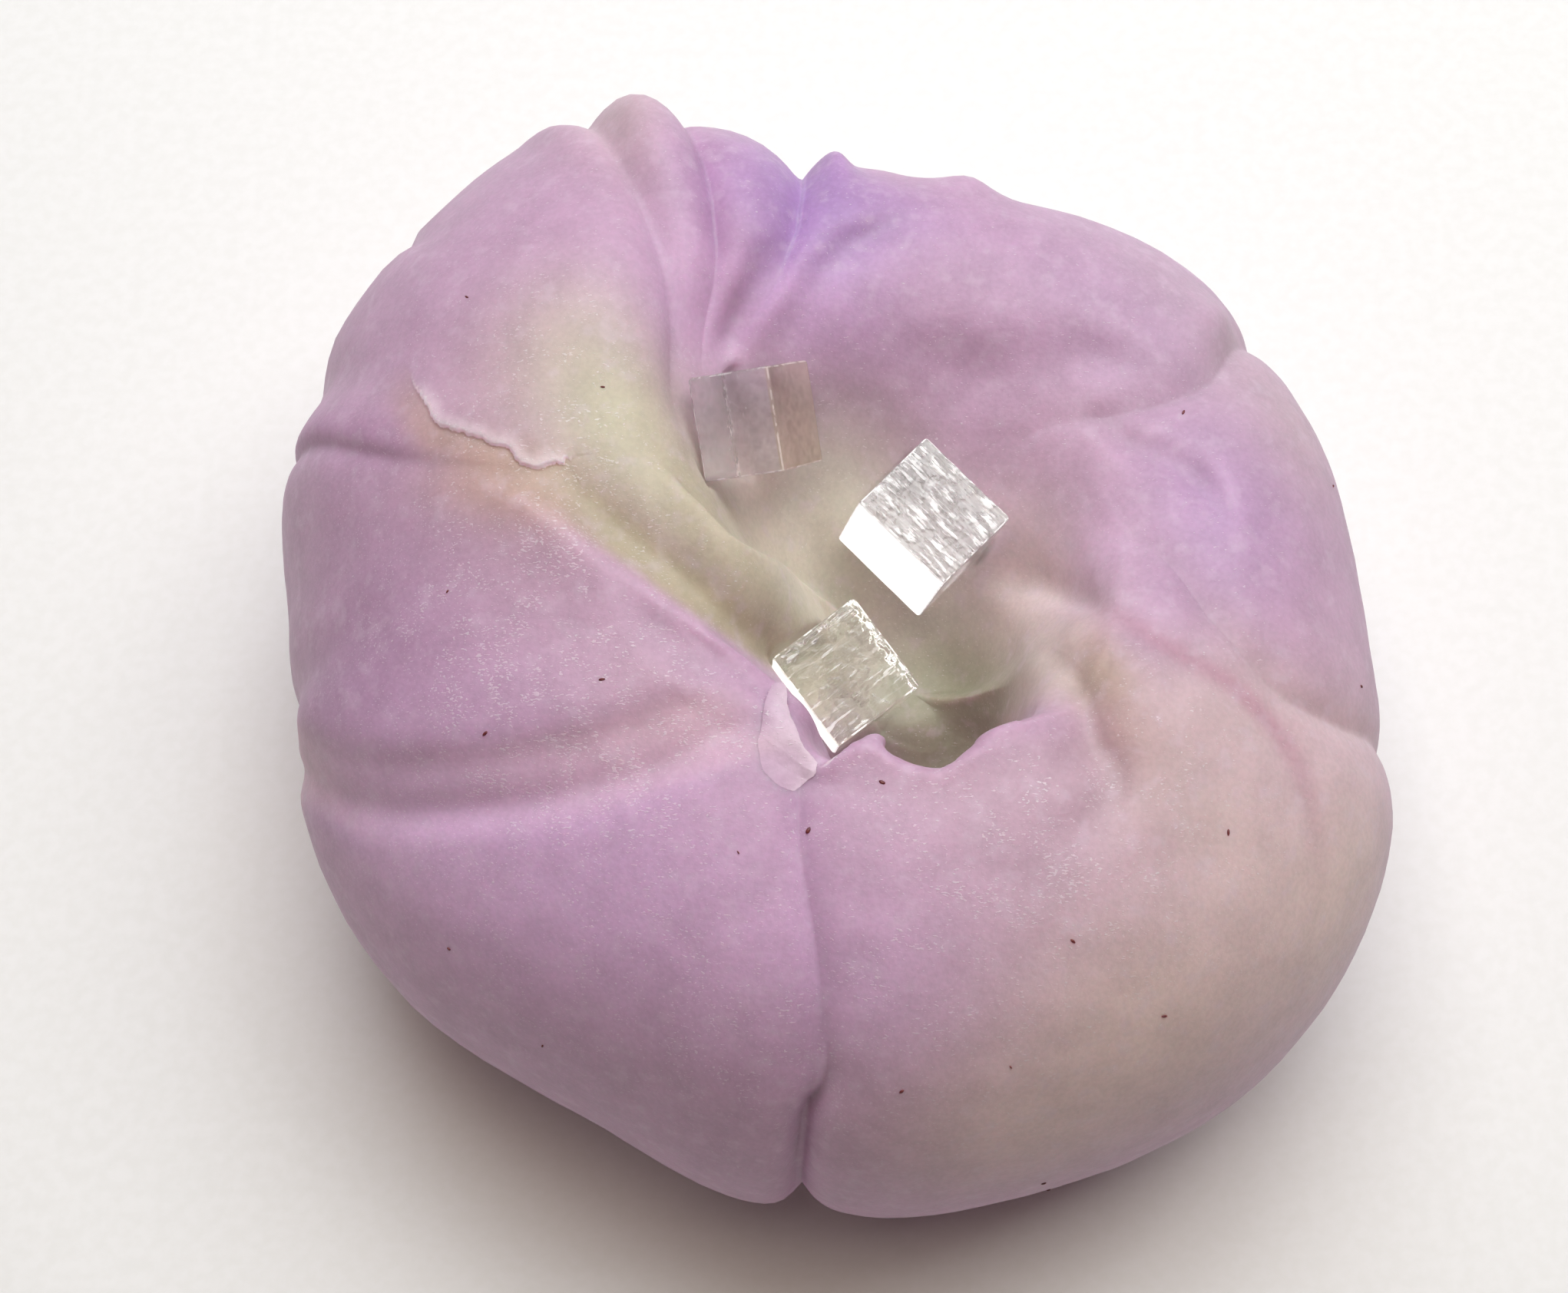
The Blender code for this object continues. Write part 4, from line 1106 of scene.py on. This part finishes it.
def bean_skin_material():
    """Dark red bean skin, browner in places."""
    material, tree, shader = new_material("bean_skin")
    even = in_mm(tree)
    cloud = remap(tree, texture(tree, even, 6.0), 0.35, 0.65)
    colour = blend(tree, cloud, linear(BEAN_SKIN_RED), linear(BEAN_SKIN_BROWN))
    feed(tree, shader, {"Base Color": colour, "Roughness": 0.35})
    return material


# The textures of the jelly, as how often they repeat in a millimetre. Marks run along the knife's way.
# The last breaks the painted glints along the edges into dots.
MARKS, PITS, BROKEN, EDGE_GLINT_GAPS = (1.1, 6.0, 6.0), 3.0, 1.5, 2.6
PIT_SHADE = (235, 235, 235)
MARK_DEPTH = 0.16


def jelly_material(name, jelly):
    """Clear sugar jelly. The knife breaks its top with fine white marks, partly frost and partly painted
    glints, that blur what is below. Painted glints shine on its marks and edges, and a painted glow on one
    side.
    """
    material, tree, shader = new_material(f"clear_{name}")
    own = add(tree, "ShaderNodeAttribute", attribute_name="own_place").outputs["Vector"]
    knife = mask_of(tree, "knife")
    marks = texture(tree, scaled(tree, own, MARKS), 1.0, detail=3.0)
    pits = texture(tree, own, PITS)
    broken = remap(tree, texture(tree, own, BROKEN), 0.4, 0.6, 0.2, 1.0)
    white = remap(tree, marks, 0.7 - 0.3 * jelly.marks, 0.78 - 0.24 * jelly.marks)
    white = times(tree, times(tree, white, broken), knife)
    apart = add(tree, "ShaderNodeSeparateXYZ", {0: own}).outputs
    side = remap(tree, apart[jelly.way], SIDE_START, SIDE_START + 0.1)
    tint = blend(tree, side, linear(jelly.tint), linear(jelly.side))
    cloudy = blend(tree, remap(tree, pits, 0.35, 0.7), tint, linear(PIT_SHADE), "MULTIPLY")
    height = calculate(tree, "MULTIPLY_ADD", pits, 0.4, times(tree, marks, broken))
    height = times(tree, height, knife)
    # Painted glints: light given off in dots along the rounded edges and on the white marks, and a painted
    # glow from the side turned to the left.
    edge_glint_gaps = remap(tree, texture(tree, own, EDGE_GLINT_GAPS, detail=3.0), 0.44, 0.56)
    painted_edge_glints = times(tree, mask_of(tree, "edge"), edge_glint_gaps)
    glint = calculate(tree, "MAXIMUM", painted_edge_glints, times(tree, white, jelly.marks))
    glow = times(tree, mask_of(tree, "left"), jelly.glow)
    painted_glints_and_glow = calculate(tree, "MAXIMUM", times(tree, glint, jelly.spark), glow)
    looks = {
        "Base Color": blend(tree, white, cloudy, WHITE),
        "Roughness": remap(tree, white, 0.0, 1.0, jelly.haze, jelly.haze + 0.35),
        "Normal": bumped(tree, height, MARK_DEPTH, 0.2 + 0.8 * jelly.marks),
        "Emission Color": blend(tree, painted_glints_and_glow, BLACK, WHITE),
        "Emission Strength": 1.0,
        "Transmission Weight": jelly.clear,
        "IOR": jelly.ior,
    }
    feed(tree, shader, looks)
    return material


PAPER_SIZE = 3.0  # metres
PAPER_COLOURS = (255, 254, 252), (251, 250, 247)


def lay_paper():
    """The pale paper that the sweet stands on."""
    bpy.ops.mesh.primitive_plane_add(size=PAPER_SIZE)
    paper = bpy.context.object
    paper.name = "paper"
    material, tree, shader = new_material("paper")
    even = in_mm(tree)
    fibre = remap(tree, texture(tree, even, 1.5, detail=4.0), 0.3, 0.7)
    colour = blend(tree, fibre, *(linear(shown) for shown in PAPER_COLOURS))
    feed(tree, shader, {"Base Color": colour, "Roughness": 0.8})
    paper.data.materials.append(material)


# The lamps and the camera, as (azimuth, elevation, distance). Azimuths are counter-clockwise from +X.
Lamp = namedtuple("Lamp", "place side power colour")
LAMPS = {
    "back_lamp": Lamp((90.0, 60.0, 300.0), 220.0, 0.56, (230, 243, 255)),
    "top_lamp": Lamp((100.0, 79.0, 300.0), 220.0, 0.4, (255, 240, 224)),
    "small_lamp": Lamp((30.0, 57.0, 300.0), 120.0, 0.22, (255, 255, 255)),
    "edge_lamp": Lamp((200.0, 14.0, 300.0), 30.0, 0.03, (255, 255, 255)),
}
LAMP_TARGET = (0.0, 0.0, 15.0)
SKY_COLOUR, SKY_STRENGTH = (255, 222, 192), 0.046
CAMERA = (-90.0, 70.0, 104.0)
CAMERA_WIDTH = 36.0  # degrees from the left to the right edge of the picture
CAMERA_TARGET = (-1.66, -0.32, 13.0)


def away(azimuth, elevation, distance):
    turn, rise = math.radians(azimuth), math.radians(elevation)
    level = math.cos(rise)
    return Vector((math.cos(turn) * level, math.sin(turn) * level, math.sin(rise))) * distance * MM


def aimed(name, data, target, place):
    """An object at its place, turned to look at its target."""
    obj = bpy.data.objects.new(name, data)
    bpy.context.scene.collection.objects.link(obj)
    obj.location = target + place
    obj.rotation_euler = (-place).to_track_quat("-Z", "Y").to_euler()
    return obj


def light_up():
    for name, lamp in LAMPS.items():
        light = bpy.data.lights.new(name, "AREA")
        light.size = lamp.side * MM
        light.energy = lamp.power
        light.color = linear(lamp.colour)[:3]
        aimed(name, light, Vector(LAMP_TARGET) * MM, away(*lamp.place))
    sky = bpy.data.worlds.new("sky")
    sky.use_nodes = True
    background = sky.node_tree.nodes["Background"]
    feed(sky.node_tree, background, {"Color": linear(SKY_COLOUR), "Strength": SKY_STRENGTH})
    bpy.context.scene.world = sky


def set_camera():
    lens = bpy.data.cameras.new("camera")
    lens.sensor_fit = "HORIZONTAL"
    lens.angle = math.radians(CAMERA_WIDTH)
    lens.clip_start = MM
    bpy.context.scene.camera = aimed("camera", lens, Vector(CAMERA_TARGET) * MM, away(*CAMERA))


def main():
    bpy.context.scene.view_settings.view_transform = "Standard"
    grain = paste_grain()
    make_skin(paste_material(grain, "bean_paste", SKIN_GLOW))
    make_flake(paste_material(grain, "thin_bean_paste", FLAKE_GLOW))
    make_specks(bean_skin_material())
    for name, cube in CUBES.items():
        make_jelly(name, cube, jelly_material(name, JELLIES[name]))
    lay_paper()
    light_up()
    set_camera()


main()
